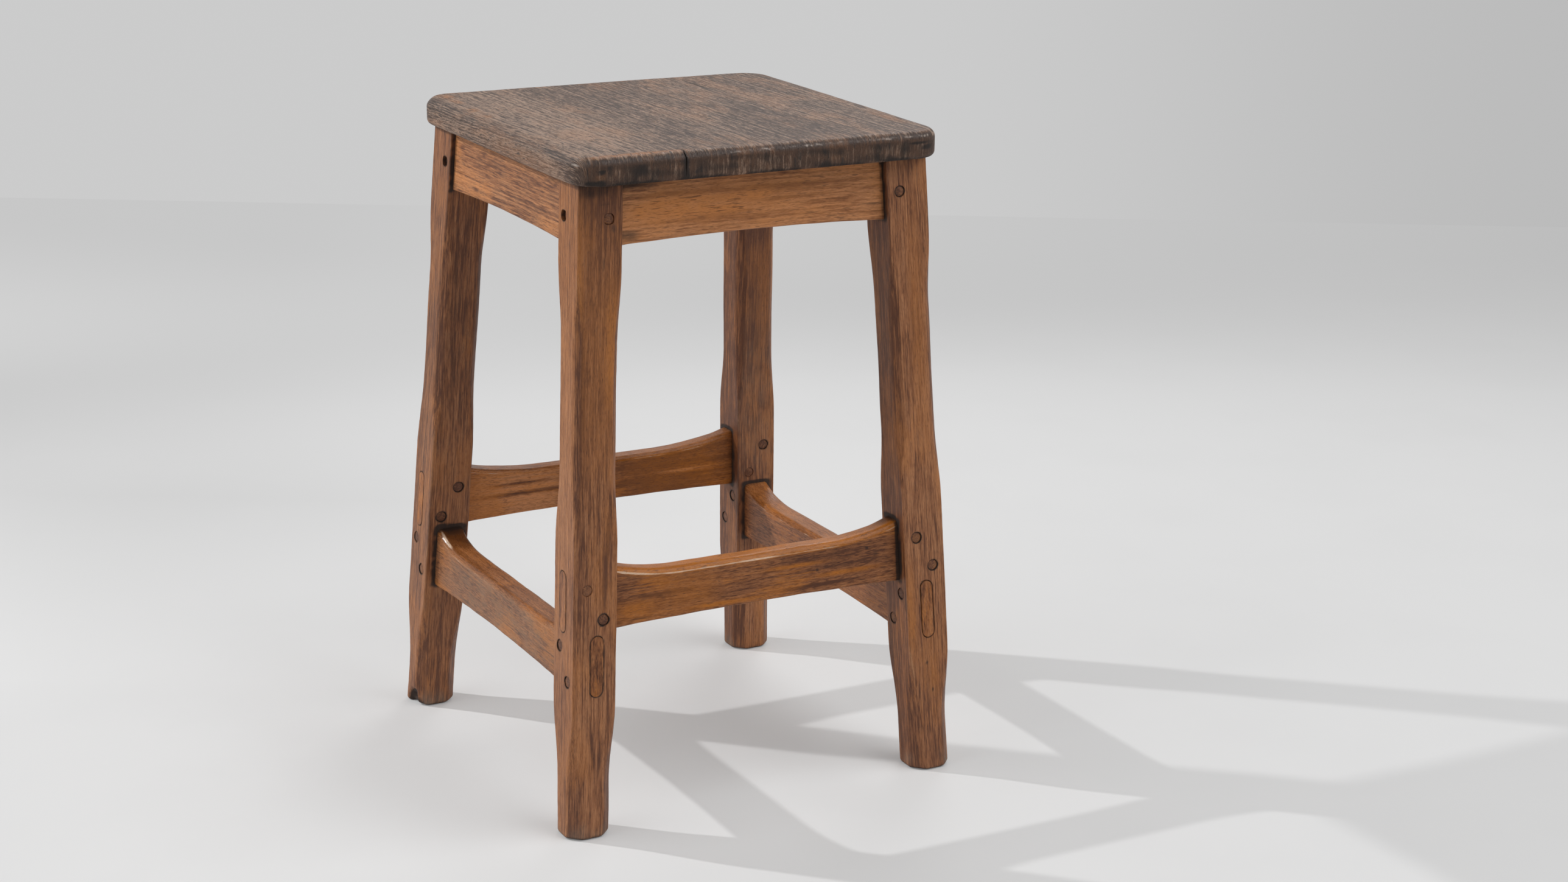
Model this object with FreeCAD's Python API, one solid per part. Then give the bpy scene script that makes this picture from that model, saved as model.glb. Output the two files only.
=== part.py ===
import FreeCAD, Part
import math
import os

from FreeCAD import Placement, Rotation, Vector

# A square hardwood stool: slab seat, four splayed legs, four aprons and four stretchers,
# joined by mortise and tenon and held by wooden pegs. Millimetres. X runs left to right,
# Y from front to back and Z up. The origin is on the floor, under the middle of the seat.

# Height and splay of the frame
frame_height = 575.0  # floor to the seat's underside
splay_x = 27.5  # how far each leg's foot stands out from its head
splay_y = 40.5

# Seat
seat_width = 358.0
seat_depth = 352.0
seat_thickness = 25.0
seat_overhang_x = 9.0  # beyond the outer faces of the legs' heads
seat_overhang_y = 19.5
seat_corner_radius = 28.0  # in plan
seat_top_round = 8.0
seat_bottom_round = 5.0

# Legs
leg_x = 42.0
leg_y = 40.0
leg_chamfer_foot = 10.5  # chamfer of the leg's arrises, measured along its faces
leg_chamfer_middle = 6.6
leg_chamfer_joint = 0.9
foot_edge_round = 4.0
foot_edge_steps = 4
square_below_low_stretcher = 16.0
square_above_high_stretcher = 32.0
square_below_apron = 23.0
chamfer_runout_foot = 62.0  # length over which a chamfer fades out
chamfer_runout_middle = 38.0
chamfer_runout_top = 45.0

# Aprons
apron_height = 56.5
apron_thickness = 20.0
apron_arch = 3.0
apron_arris_round = 2.0
apron_inset_front_back = 8.0  # behind the legs' outer faces
apron_inset_sides = 5.0

# Stretchers
stretcher_end_height = 57.0
low_stretcher_base = 128.0  # height of the lower edge at the legs
high_stretcher_base = 183.0
low_stretcher_thickness = 26.0
high_stretcher_thickness = 20.0
low_stretcher_scoop = 11.5  # how far the top dips between the legs
high_stretcher_scoop = 10.5
low_stretcher_arch = 4.0
high_stretcher_arch = 2.5
low_scoop_flat_share = 0.65  # straight part of the dipped top, as a share of its length
front_scoop_flat_share = 0.6
back_scoop_flat_share = 0.45
stretcher_top_round = 6.0
stretcher_bottom_round = 2.0
front_stretcher_inset = 12.0
back_stretcher_inset = 7.0
left_stretcher_inset = 10.0
right_stretcher_inset = 8.0

# Tenons
stretcher_tenon_thickness = 12.0
stretcher_tenon_height = 54.0
apron_tenon_thickness = 10.0
apron_tenon_lower_shoulder = 7.0
apron_tenon_upper_shoulder = 12.0
mitre_gap = 1.0  # between two apron tenons that meet inside a leg

# Pegs and dowels
stretcher_peg_diameter = 10.0
stretcher_peg_side_step = 8.0  # each side of the leg's middle
stretcher_peg_height_step = 14.0  # above and below the tenon's middle
stretcher_peg_recess = 0.4
apron_peg_diameter = 9.0
apron_peg_edge_distance = 29.0  # from the leg's far face
apron_peg_depth = 24.0
apron_peg_recess_front_back = 0.4
apron_peg_recess_sides = 3.0
seat_dowel_diameter = 8.0
seat_dowel_in_seat = 14.0
seat_dowel_in_apron = 22.0
seat_dowel_spacing_share = 0.55  # of the apron's length between the legs

# Fits
joint_clearance = 0.1
hole_end_clearance = 0.6

# Sizes that follow from the ones above
spread_x_top = seat_width - 2 * seat_overhang_x  # over the legs' outer faces, at the seat
spread_y_top = seat_depth - 2 * seat_overhang_y
spread_x_floor = spread_x_top + 2 * splay_x
spread_y_floor = spread_y_top + 2 * splay_y
apron_base = frame_height - apron_height
high_stretcher_top = high_stretcher_base + stretcher_end_height
cut_size = 2 * (frame_height + spread_x_floor + spread_y_floor)
UP = Vector(0, 0, 1)


class Side:
    """One side of the frame, drawn as the front one and then turned about Z.

    In its own axes the side runs along X and its outside faces -Y. The faces of the legs
    lean, so the half sizes get smaller with height. Run and out are the spreads over the
    legs along and across the side, at the floor and at the seat.
    """

    def __init__(self, turn, run, out, leg_run, leg_out):
        self.turn = turn
        self.run_floor = run[0] / 2
        self.run_slope = (run[0] - run[1]) / (2 * frame_height)
        self.out_floor = out[0] / 2
        self.out_slope = (out[0] - out[1]) / (2 * frame_height)
        self.leg_run = leg_run
        self.leg_out = leg_out

    def half_run(self, z):
        return self.run_floor - self.run_slope * z

    def half_out(self, z):
        return self.out_floor - self.out_slope * z

    def shoulder(self, z):
        """Half the clear width between the legs at a height."""
        return self.half_run(z) - self.leg_run

    def lean(self):
        """How far the side leans inwards, in degrees."""
        return math.degrees(math.atan(self.out_slope))

    def inside_outer_plane(self, inset):
        """Block behind the plane that lies inset behind the legs' outer faces."""
        point = Vector(0, inset - self.out_floor, 0)
        return half_space(point, Vector(0, 1, -self.out_slope))

    def outside_outer_plane(self, inset):
        """Block in front of that plane."""
        point = Vector(0, inset - self.out_floor, 0)
        return half_space(point, Vector(0, -1, self.out_slope))

    def inside_end_plane(self, end, inset):
        """Block on the middle's side of the plane inset from a leg's end face."""
        point = Vector(end * (self.run_floor - inset), 0, 0)
        return half_space(point, Vector(-end, 0, -self.run_slope))

    def outside_end_plane(self, end, inset):
        """Block on the far side of that plane."""
        point = Vector(end * (self.run_floor - inset), 0, 0)
        return half_space(point, Vector(end, 0, self.run_slope))

    def inside_mitre(self, end, gap):
        """Block on this side's half of the diagonal plane through a leg."""
        point = Vector(end * (self.run_floor - gap), -self.out_floor, 0)
        return half_space(point, Vector(-end, -1, self.out_slope - self.run_slope))

    def place(self, shape):
        """Turns a shape from the side's own axes to the stool's."""
        placed = shape.copy()
        placed.rotate(Vector(0, 0, 0), UP, self.turn)
        return placed


def half_space(point, normal):
    """A block larger than the stool, on the side of a plane that the normal points to."""
    corner = Vector(-cut_size / 2, -cut_size / 2, 0)
    block = Part.makeBox(cut_size, cut_size, cut_size, corner)
    block.Placement = Placement(point, Rotation(UP, normal))
    return block


def keep(shape, *blocks):
    """The part of a shape that lies inside every block."""
    for block in blocks:
        shape = shape.common(block)
    return shape


def one_solid(shape):
    """The only solid of a cleaned shape."""
    solids = shape.removeSplitter().Solids
    if len(solids) != 1:
        raise ValueError("expected one solid, found %d" % len(solids))
    return solids[0]


def arc(start, middle, end):
    return Part.Arc(start, middle, end).toShape()


def line(start, end):
    return Part.LineSegment(start, end).toShape()


def chamfered_rectangle(center, size_x, size_y, chamfer):
    """Level outline with cut corners, as a wire of eight lines."""
    half_x = size_x / 2
    half_y = size_y / 2
    corners = []
    for sign_x, sign_y in ((1, -1), (1, 1), (-1, 1), (-1, -1)):
        on_x_face = center + Vector(sign_x * half_x, sign_y * (half_y - chamfer), 0)
        on_y_face = center + Vector(sign_x * (half_x - chamfer), sign_y * half_y, 0)
        corners += [on_x_face, on_y_face] if sign_x == sign_y else [on_y_face, on_x_face]
    return Part.makePolygon(corners + corners[:1])


def leg_stations():
    """Heights up a leg, each with the chamfer of its arrises and the inset of its faces."""
    stations = []
    for step in range(foot_edge_steps):
        turn = math.radians(90 * step / foot_edge_steps)
        height = foot_edge_round * (1 - math.cos(turn))
        inset = foot_edge_round * (1 - math.sin(turn))
        stations.append((height, leg_chamfer_foot, inset))
    low_square = low_stretcher_base - square_below_low_stretcher
    middle_square = high_stretcher_top + square_above_high_stretcher
    top_square = apron_base - square_below_apron
    stations.append((foot_edge_round, leg_chamfer_foot, 0))
    stations.append((low_square - chamfer_runout_foot, leg_chamfer_foot, 0))
    stations.append((low_square, leg_chamfer_joint, 0))
    stations.append((middle_square, leg_chamfer_joint, 0))
    stations.append((middle_square + chamfer_runout_middle, leg_chamfer_middle, 0))
    stations.append((top_square - chamfer_runout_top, leg_chamfer_middle, 0))
    stations.append((top_square, leg_chamfer_joint, 0))
    stations.append((frame_height, leg_chamfer_joint, 0))
    return stations


def make_leg_blank(sign_x, sign_y, front, right):
    """A splayed leg with its stopped chamfers, before the joints are cut."""
    wires = []
    for height, chamfer, inset in leg_stations():
        center_x = sign_x * (front.half_run(height) - leg_x / 2)
        center_y = sign_y * (right.half_run(height) - leg_y / 2)
        center = Vector(center_x, center_y, height)
        size_x = leg_x - 2 * inset
        size_y = leg_y - 2 * inset
        wires.append(chamfered_rectangle(center, size_x, size_y, chamfer))
    return Part.makeLoft(wires, True, True)


def tenon_bar(side, inset, thickness, height, base, grow, round_ends):
    """A bar through both legs of a side, with the tenon's section and the side's lean."""
    half = thickness / 2 + grow
    top = height / 2 + grow
    if round_ends:
        hub = top - half
        edges = [
            line(Vector(0, half, -hub), Vector(0, half, hub)),
            arc(Vector(0, half, hub), Vector(0, 0, top), Vector(0, -half, hub)),
            line(Vector(0, -half, hub), Vector(0, -half, -hub)),
            arc(Vector(0, -half, -hub), Vector(0, 0, -top), Vector(0, half, -hub)),
        ]
        outline = Part.Wire(edges)
    else:
        corners = [Vector(0, half, -top), Vector(0, half, top)]
        corners += [Vector(0, -half, top), Vector(0, -half, -top)]
        outline = Part.makePolygon(corners + corners[:1])
    length = 2 * side.run_floor + 2 * side.leg_run
    bar = Part.Face(outline).extrude(Vector(length, 0, 0))
    bar.translate(Vector(-length / 2, 0, 0))
    bar.rotate(Vector(0, 0, 0), Vector(1, 0, 0), -side.lean())
    middle = base + height / 2
    bar.translate(Vector(0, inset + thickness / 2 - side.half_out(middle), middle))
    return bar


class Rail:
    """What an apron and a stretcher have in common: a leaning board with two tenons."""

    def __init__(self, side, inset, thickness, tenon_thickness):
        self.side = side
        self.inset = inset
        self.thickness = thickness
        self.tenon_thickness = tenon_thickness
        self.tenon_inset = inset + (thickness - tenon_thickness) / 2

    def board(self, outline, top_round, bottom_round, middle_height):
        """Carries the outline through the side's leaning layer and rounds its long arrises."""
        side = self.side
        prism = Part.Face(outline).extrude(Vector(0, -2 * side.out_floor, 0))
        outer = side.inside_outer_plane(self.inset)
        inner = side.outside_outer_plane(self.inset + self.thickness)
        board = one_solid(keep(prism, outer, inner))
        for radius, upper in ((top_round, True), (bottom_round, False)):
            if radius:
                edges = [e for e in board.Edges if self.is_long_arris(e, upper, middle_height)]
                board = board.makeFillet(radius, edges)
        return board

    def is_long_arris(self, edge, upper, middle_height):
        """Whether an edge runs from leg to leg along the board's top or bottom."""
        start, end = edge.Vertexes[0].Point, edge.Vertexes[-1].Point
        runs_along = abs(end.x - start.x) > abs(end.y - start.y) + abs(end.z - start.z)
        return runs_along and (edge.CenterOfMass.z > middle_height) == upper


class Apron(Rail):
    """A rail under the seat, with blind tenons that are mitred inside the legs."""

    base = apron_base
    tenon_base = apron_base + apron_tenon_lower_shoulder
    tenon_height = apron_height - apron_tenon_lower_shoulder - apron_tenon_upper_shoulder

    def __init__(self, side, inset, peg_recess):
        super().__init__(side, inset, apron_thickness, apron_tenon_thickness)
        self.peg_recess = peg_recess

    def outline(self):
        """The board seen from outside: level top, arched lower edge, leaning shoulders."""
        low = self.side.shoulder(self.base)
        high = self.side.shoulder(frame_height)
        left_foot, right_foot = Vector(-low, 0, self.base), Vector(low, 0, self.base)
        left_head, right_head = Vector(-high, 0, frame_height), Vector(high, 0, frame_height)
        crown = Vector(0, 0, self.base + apron_arch)
        edges = [arc(left_foot, crown, right_foot), line(right_foot, right_head)]
        edges += [line(right_head, left_head), line(left_head, left_foot)]
        return Part.Wire(edges)

    def bar(self, grow, gap):
        """The tenon's bar, cut off at the mitres inside both legs."""
        size = (self.tenon_thickness, self.tenon_height, self.tenon_base)
        bar = tenon_bar(self.side, self.tenon_inset, *size, grow, False)
        return keep(bar, *[self.side.inside_mitre(end, gap) for end in (-1, 1)])

    def mortise(self):
        return self.side.place(self.bar(joint_clearance, joint_clearance))

    def solid(self):
        middle = (self.base + frame_height) / 2
        body = self.board(self.outline(), 0, apron_arris_round, middle)
        bar = self.bar(0, mitre_gap / 2)
        for end in (-1, 1):
            tenon = keep(bar, self.side.outside_end_plane(end, self.side.leg_run))
            body = body.fuse(tenon)
        return self.side.place(one_solid(body))

    def peg(self, end, grow):
        """A blind peg, or with some growth its hole, in one end's joint."""
        side = self.side
        height = self.tenon_base + self.tenon_height / 2
        x = end * (side.half_run(height) - apron_peg_edge_distance)
        foot = Vector(x, -side.out_floor, height)
        length = side.half_out(height)
        radius = apron_peg_diameter / 2 + grow
        rod = Part.makeCylinder(radius, length, foot, Vector(0, 1, 0))
        recess = 0 if grow else self.peg_recess
        depth = apron_peg_depth + (hole_end_clearance if grow else 0)
        kept = keep(rod, side.outside_outer_plane(depth))
        if not grow:
            kept = keep(kept, side.inside_outer_plane(recess))
        return side.place(kept)

    def dowel(self, end, grow):
        """An upright dowel, or its hole, between the apron's top edge and the seat."""
        side = self.side
        x = end * seat_dowel_spacing_share * side.shoulder(frame_height)
        y = self.inset + self.thickness / 2 - side.half_out(frame_height)
        gap = hole_end_clearance if grow else 0
        foot = Vector(x, y, frame_height - seat_dowel_in_apron - gap)
        length = seat_dowel_in_apron + seat_dowel_in_seat + 2 * gap
        return side.place(Part.makeCylinder(seat_dowel_diameter / 2 + grow, length, foot, UP))


class Stretcher(Rail):
    """A low rail with a scooped, rounded top and through tenons with round ends."""

    def __init__(self, side, inset, thickness, base, scoop, arch, flat_share):
        super().__init__(side, inset, thickness, stretcher_tenon_thickness)
        self.base = base
        self.top = base + stretcher_end_height
        self.scoop = scoop
        self.arch = arch
        self.flat_share = flat_share
        self.middle = base + stretcher_end_height / 2
        self.tenon_base = self.middle - stretcher_tenon_height / 2

    def outline(self):
        """The board from outside: a flat top that sweeps up in an arc to each shoulder."""
        low = self.side.shoulder(self.base)
        high = self.side.shoulder(self.top)
        flat = self.flat_share * high
        dip = self.top - self.scoop
        reach = high - flat
        radius = (reach ** 2 + self.scoop ** 2) / (2 * self.scoop)
        turn = math.asin(reach / radius) / 2
        mid_x = flat + radius * math.sin(turn)
        mid_z = dip + radius * (1 - math.cos(turn))
        left_foot, right_foot = Vector(-low, 0, self.base), Vector(low, 0, self.base)
        left_head, right_head = Vector(-high, 0, self.top), Vector(high, 0, self.top)
        left_dip, right_dip = Vector(-flat, 0, dip), Vector(flat, 0, dip)
        edges = [
            arc(left_foot, Vector(0, 0, self.base + self.arch), right_foot),
            line(right_foot, right_head),
            arc(right_head, Vector(mid_x, 0, mid_z), right_dip),
            line(right_dip, left_dip),
            arc(left_dip, Vector(-mid_x, 0, mid_z), left_head),
            line(left_head, left_foot),
        ]
        return Part.Wire(edges)

    def bar(self, grow):
        size = (self.tenon_thickness, stretcher_tenon_height, self.tenon_base)
        return tenon_bar(self.side, self.tenon_inset, *size, grow, True)

    def mortise(self):
        return self.side.place(self.bar(joint_clearance))

    def solid(self):
        side = self.side
        split = self.top - self.scoop - stretcher_top_round
        body = self.board(self.outline(), stretcher_top_round, stretcher_bottom_round, split)
        bar = self.bar(0)
        for end in (-1, 1):
            outer = side.inside_end_plane(end, 0)
            shoulder = side.outside_end_plane(end, side.leg_run)
            body = body.fuse(keep(bar, outer, shoulder))
        return side.place(one_solid(body))

    def peg(self, end, level, grow):
        """One of the two pegs right through a joint: the upper is left of the lower."""
        side = self.side
        height = self.middle + level * stretcher_peg_height_step
        x = end * (side.half_run(height) - side.leg_run / 2) - level * stretcher_peg_side_step
        foot = Vector(x, -2 * side.out_floor, height)
        radius = stretcher_peg_diameter / 2 + grow
        rod = Part.makeCylinder(radius, 2 * side.out_floor, foot, Vector(0, 1, 0))
        if grow:
            return side.place(rod)
        outer = side.inside_outer_plane(stretcher_peg_recess)
        inner = side.outside_outer_plane(side.leg_out - stretcher_peg_recess)
        return side.place(keep(rod, outer, inner))


def make_sides():
    """The four sides by name, each with its turn from the front one."""
    across = (spread_x_floor, spread_x_top)
    deep = (spread_y_floor, spread_y_top)
    return {
        "front": Side(0, across, deep, leg_x, leg_y),
        "right": Side(90, deep, across, leg_y, leg_x),
        "back": Side(180, across, deep, leg_x, leg_y),
        "left": Side(270, deep, across, leg_y, leg_x),
    }


def make_aprons(sides):
    aprons = {}
    for name, side in sides.items():
        if name in ("front", "back"):
            aprons[name] = Apron(side, apron_inset_front_back, apron_peg_recess_front_back)
        else:
            aprons[name] = Apron(side, apron_inset_sides, apron_peg_recess_sides)
    return aprons


def make_stretchers(sides):
    high = (high_stretcher_thickness, high_stretcher_base, high_stretcher_scoop)
    high += (high_stretcher_arch,)
    low = (low_stretcher_thickness, low_stretcher_base, low_stretcher_scoop)
    low += (low_stretcher_arch, low_scoop_flat_share)
    return {
        "front": Stretcher(sides["front"], front_stretcher_inset, *high, front_scoop_flat_share),
        "back": Stretcher(sides["back"], back_stretcher_inset, *high, back_scoop_flat_share),
        "left": Stretcher(sides["left"], left_stretcher_inset, *low),
        "right": Stretcher(sides["right"], right_stretcher_inset, *low),
    }


def make_seat(aprons):
    """The slab with round corners and edges, bored from below for the dowels."""
    corner = Vector(-seat_width / 2, -seat_depth / 2, frame_height)
    slab = Part.makeBox(seat_width, seat_depth, seat_thickness, corner)
    upright = [e for e in slab.Edges if abs(e.tangentAt(e.FirstParameter).z) > 0.5]
    slab = slab.makeFillet(seat_corner_radius, upright)
    rounds = ((seat_top_round, frame_height + seat_thickness), (seat_bottom_round, frame_height))
    for radius, height in rounds:
        rim = [e for e in slab.Edges if is_level_at(e, height)]
        slab = slab.makeFillet(radius, rim)
    for apron in aprons.values():
        for end in (-1, 1):
            slab = slab.cut(apron.dowel(end, joint_clearance))
    return one_solid(slab)


def is_level_at(edge, height):
    """Whether both ends and the middle of an edge lie at a height."""
    points = [edge.Vertexes[0].Point, edge.Vertexes[-1].Point, edge.CenterOfMass]
    return all(abs(p.z - height) < joint_clearance for p in points)


def leg_name(sign_x, sign_y):
    return "%s_%s_leg" % ("front" if sign_y < 0 else "back", "left" if sign_x < 0 else "right")


def end_word(side, end):
    """The direction of a side's end in the stool's own axes: left, right, front or back."""
    turned = Rotation(UP, side.turn).multVec(Vector(end, 0, 0))
    if abs(turned.x) > abs(turned.y):
        return "left" if turned.x < 0 else "right"
    return "front" if turned.y < 0 else "back"


def main():
    sides = make_sides()
    aprons = make_aprons(sides)
    stretchers = make_stretchers(sides)
    nodes = {"seat": make_seat(aprons)}

    holes = [rail.mortise() for rail in list(aprons.values()) + list(stretchers.values())]
    peg_holes = []
    for name, apron in aprons.items():
        apron_holes = []
        for end in (-1, 1):
            word = end_word(apron.side, end)
            nodes["%s_apron_peg_%s" % (name, word)] = apron.peg(end, 0)
            apron_holes.append(apron.peg(end, joint_clearance))
            nodes["%s_seat_dowel_%s" % (name, word)] = apron.dowel(end, 0)
            apron_holes.append(apron.dowel(end, joint_clearance))
        nodes[name + "_apron"] = one_solid(apron.solid().cut(apron_holes))
        peg_holes += apron_holes
    for name, stretcher in stretchers.items():
        stretcher_holes = []
        for end in (-1, 1):
            word = end_word(stretcher.side, end)
            for level, place in ((1, "upper"), (-1, "lower")):
                nodes["%s_stretcher_peg_%s_%s" % (name, word, place)] = stretcher.peg(end, level, 0)
                stretcher_holes.append(stretcher.peg(end, level, joint_clearance))
        nodes[name + "_stretcher"] = one_solid(stretcher.solid().cut(stretcher_holes))
        peg_holes += stretcher_holes

    for sign_x in (-1, 1):
        for sign_y in (-1, 1):
            leg = make_leg_blank(sign_x, sign_y, sides["front"], sides["right"])
            nodes[leg_name(sign_x, sign_y)] = one_solid(leg.cut(holes + peg_holes))

    for name, shape in nodes.items():
        solid = one_solid(shape)
        print("%-44s valid %s volume %.1f cm3" % (name, solid.isValid(), solid.Volume / 1000))
        solid.exportStep("parts/%s.step" % name)
    print("nodes", len(nodes))


os.makedirs("parts", exist_ok=True)
main()
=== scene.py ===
import logging
import math
from dataclasses import dataclass
from enum import Enum
from functools import cached_property
from typing import Callable, Dict, List, Sequence, Tuple, Union

import bpy
import numpy as np
from mathutils import Matrix, Vector


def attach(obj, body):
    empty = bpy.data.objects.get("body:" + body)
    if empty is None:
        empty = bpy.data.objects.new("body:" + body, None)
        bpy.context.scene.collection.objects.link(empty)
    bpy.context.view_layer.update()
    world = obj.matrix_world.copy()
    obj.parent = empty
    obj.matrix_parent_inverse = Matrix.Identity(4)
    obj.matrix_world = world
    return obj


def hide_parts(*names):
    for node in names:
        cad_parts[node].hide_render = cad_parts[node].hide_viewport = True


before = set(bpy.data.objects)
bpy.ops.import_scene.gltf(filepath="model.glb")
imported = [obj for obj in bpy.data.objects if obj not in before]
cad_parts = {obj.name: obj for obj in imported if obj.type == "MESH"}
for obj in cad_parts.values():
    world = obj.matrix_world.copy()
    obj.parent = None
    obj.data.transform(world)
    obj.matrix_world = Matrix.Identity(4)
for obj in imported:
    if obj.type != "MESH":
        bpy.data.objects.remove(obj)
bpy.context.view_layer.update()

# A square hardwood stool: slab seat, splayed legs, aprons and stretchers, pegged together.
# Metres. X runs left to right, Y from front to back and Z up, from the floor under the seat.

LOG = logging.getLogger("stool")
ROOT = "root"
SHARP_ANGLE = math.radians(36)
END_SHARES = (0.15, 0.4, 0.65, 0.85, 0.96)
Array = np.ndarray
Rgb = Tuple[float, float, float]
Place = Tuple[float, float, float]
Material = bpy.types.Material
Operand = Union["Wire", float]


class Turn(Enum):
    """The four sides of the stool, each with its turn about Z from the front one."""

    FRONT = 0
    RIGHT = 90
    BACK = 180
    LEFT = 270

    @property
    def lengthwise(self) -> bool:
        """Whether the side runs along the stool's X axis."""
        return self.value % 180 == 0


# Shader arithmetic


class Wire:
    """A shader socket that takes part in Python arithmetic."""

    def __init__(self, graph: "Graph", socket: bpy.types.NodeSocket) -> None:
        """Keeps the socket and the graph that new nodes are added to."""
        self.graph = graph
        self.socket = socket

    def math(self, operation: str, *others: Operand, clamp: bool = False) -> "Wire":
        """One Math node on this value.

        Args:
            operation: The node's operation, such as ADD.
            others: The second and third values.
            clamp: Whether the result is held between 0 and 1.

        Returns:
            The result's socket.
        """
        settings = {"operation": operation, "use_clamp": clamp}
        values = {i: v for i, v in enumerate((self,) + others)}
        return self.graph.node("Math", settings, values)

    def __add__(self, other: Operand) -> "Wire":
        """Sum."""
        return self.math("ADD", other)

    def __sub__(self, other: Operand) -> "Wire":
        """Difference."""
        return self.math("SUBTRACT", other)

    def __rsub__(self, other: float) -> "Wire":
        """A number less this value."""
        return self.graph.node("Math", {"operation": "SUBTRACT"}, {0: other, 1: self})

    def __mul__(self, other: Operand) -> "Wire":
        """Product."""
        return self.math("MULTIPLY", other)

    __radd__, __rmul__ = __add__, __mul__

    def clamp(self) -> "Wire":
        """This value held between 0 and 1."""
        return self.math("ADD", 0.0, clamp=True)

    def step(self, low: float, high: float) -> "Wire":
        """A soft step by an S curve.

        Args:
            low: The value up to which it is 0.
            high: The value from which it is 1. Where low is higher, the step goes down.

        Returns:
            The step's socket.
        """
        settings = {"interpolation_type": "SMOOTHSTEP", "data_type": "FLOAT"}
        flip = low > high
        values = {0: self, 1: min(low, high), 2: max(low, high), 3: float(flip), 4: float(not flip)}
        return self.graph.node("MapRange", settings, values)

    def vector(self, operation: str, other: Union["Wire", Sequence[float]]) -> "Wire":
        """One Vector Math node on this vector and another."""
        return self.graph.node("VectorMath", {"operation": operation}, {0: self, 1: other})

    def parts(self) -> Tuple["Wire", "Wire", "Wire"]:
        """The vector's X, Y and Z."""
        return self.graph.outputs("SeparateXYZ", {}, {0: self}, (0, 1, 2))

    def ramp(self, stops: Sequence[Tuple[float, Rgb]]) -> "Wire":
        """A colour looked up from this value through a ramp's stops."""
        return self.graph.node("ValToRGB", {"stops": stops}, {0: self})

    def mixed(self, other: Union["Wire", Rgb], share: Operand, blend: str = "MIX") -> "Wire":
        """This colour with a share of another from 0 to 1, by one of the Mix node's blend types."""
        settings = {"data_type": "RGBA", "blend_type": blend}
        return self.graph.node("Mix", settings, {0: share, 6: self, 7: other}, 2)


class Graph:
    """The node tree of a material or of the world."""

    def __init__(self, owner: Union[Material, bpy.types.World]) -> None:
        """Empties the owner's node tree.

        Args:
            owner: The material or the world that the tree belongs to.
        """
        owner.use_nodes = True
        self.owner = owner
        self.tree = owner.node_tree
        self.tree.nodes.clear()

    def outputs(
        self, kind: str, settings: Dict, values: Dict, wanted: Sequence[Union[int, str]]
    ) -> Tuple[Wire, ...]:
        """Adds a node.

        Args:
            kind: The node's type, without the ShaderNode that it starts with.
            settings: Its properties, or a ramp's stops, which are set first.
            values: Links or values by socket number or name.
            wanted: The outputs to return.

        Returns:
            The wanted output sockets.
        """
        node = self.tree.nodes.new("ShaderNode" + kind)
        for key, value in settings.items():
            if key == "stops":
                self.fill_ramp(node.color_ramp, value)
            else:
                setattr(node, key, value)
        for key, value in values.items():
            socket = node.inputs[key]
            if isinstance(value, Wire):
                self.tree.links.new(value.socket, socket)
            elif isinstance(value, tuple) and len(value) == 3 and socket.type == "RGBA":
                socket.default_value = (*value, 1.0)
            else:
                socket.default_value = value
        return tuple(Wire(self, node.outputs[w]) for w in wanted)

    def node(self, kind: str, settings: Dict, values: Dict, output: Union[int, str] = 0) -> Wire:
        """Adds a node as outputs does and returns one of its output sockets."""
        return self.outputs(kind, settings, values, (output,))[0]

    @staticmethod
    def fill_ramp(ramp: bpy.types.ColorRamp, stops: Sequence[Tuple[float, Rgb]]) -> None:
        """Sets a colour ramp's stops.

        Args:
            ramp: The ramp.
            stops: A place from 0 to 1 and a colour for each.
        """
        while len(ramp.elements) < len(stops):
            ramp.elements.new(0.5)
        for element, (place, colour) in zip(ramp.elements, stops):
            element.position = place
            element.color = (*colour, 1.0)

    def attribute(self, name: str) -> Wire:
        """A vector attribute of the piece's mesh."""
        return self.node("Attribute", {"attribute_name": name}, {}, "Vector")

    def noise(
        self, where: Wire, scale: Sequence[float], detail: float = 2.0, rough: float = 0.5,
        output: Union[int, str] = 0,
    ) -> Wire:
        """Noise about 0.5.

        Args:
            where: The place that it is looked up at.
            scale: Features per metre on each axis.
            detail: The noise's octaves.
            rough: How much each octave adds.
            output: The node's output: its value, or three values as a colour.

        Returns:
            The noise.
        """
        place = where.vector("MULTIPLY", tuple(scale))
        values = {"Vector": place, "Scale": 1.0, "Detail": detail, "Roughness": rough}
        return self.node("TexNoise", {}, values, output)

    def fibres(self, where: Wire, size: Tuple[float, float], sheet: float, detail: float) -> Wire:
        """Noise in strands of a width and a length, sheet times as dense on the second axis."""
        return self.noise(where, (1 / size[0], sheet / size[0], 1 / size[1]), detail, 0.6)

    def end(self, shader: Wire, kind: str = "Material") -> None:
        """Links a shader to the owner's output node, of the kind Material or World."""
        self.outputs("Output" + kind, {}, {"Surface": shader}, ())

    def bump(self, height: Wire, distance: float, strength: float) -> Wire:
        """A bumped normal from a height between about 0 and 1 and the height's real size."""
        values = {"Height": height, "Distance": distance, "Strength": strength}
        return self.node("Bump", {}, values, "Normal")


# Finishes


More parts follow.
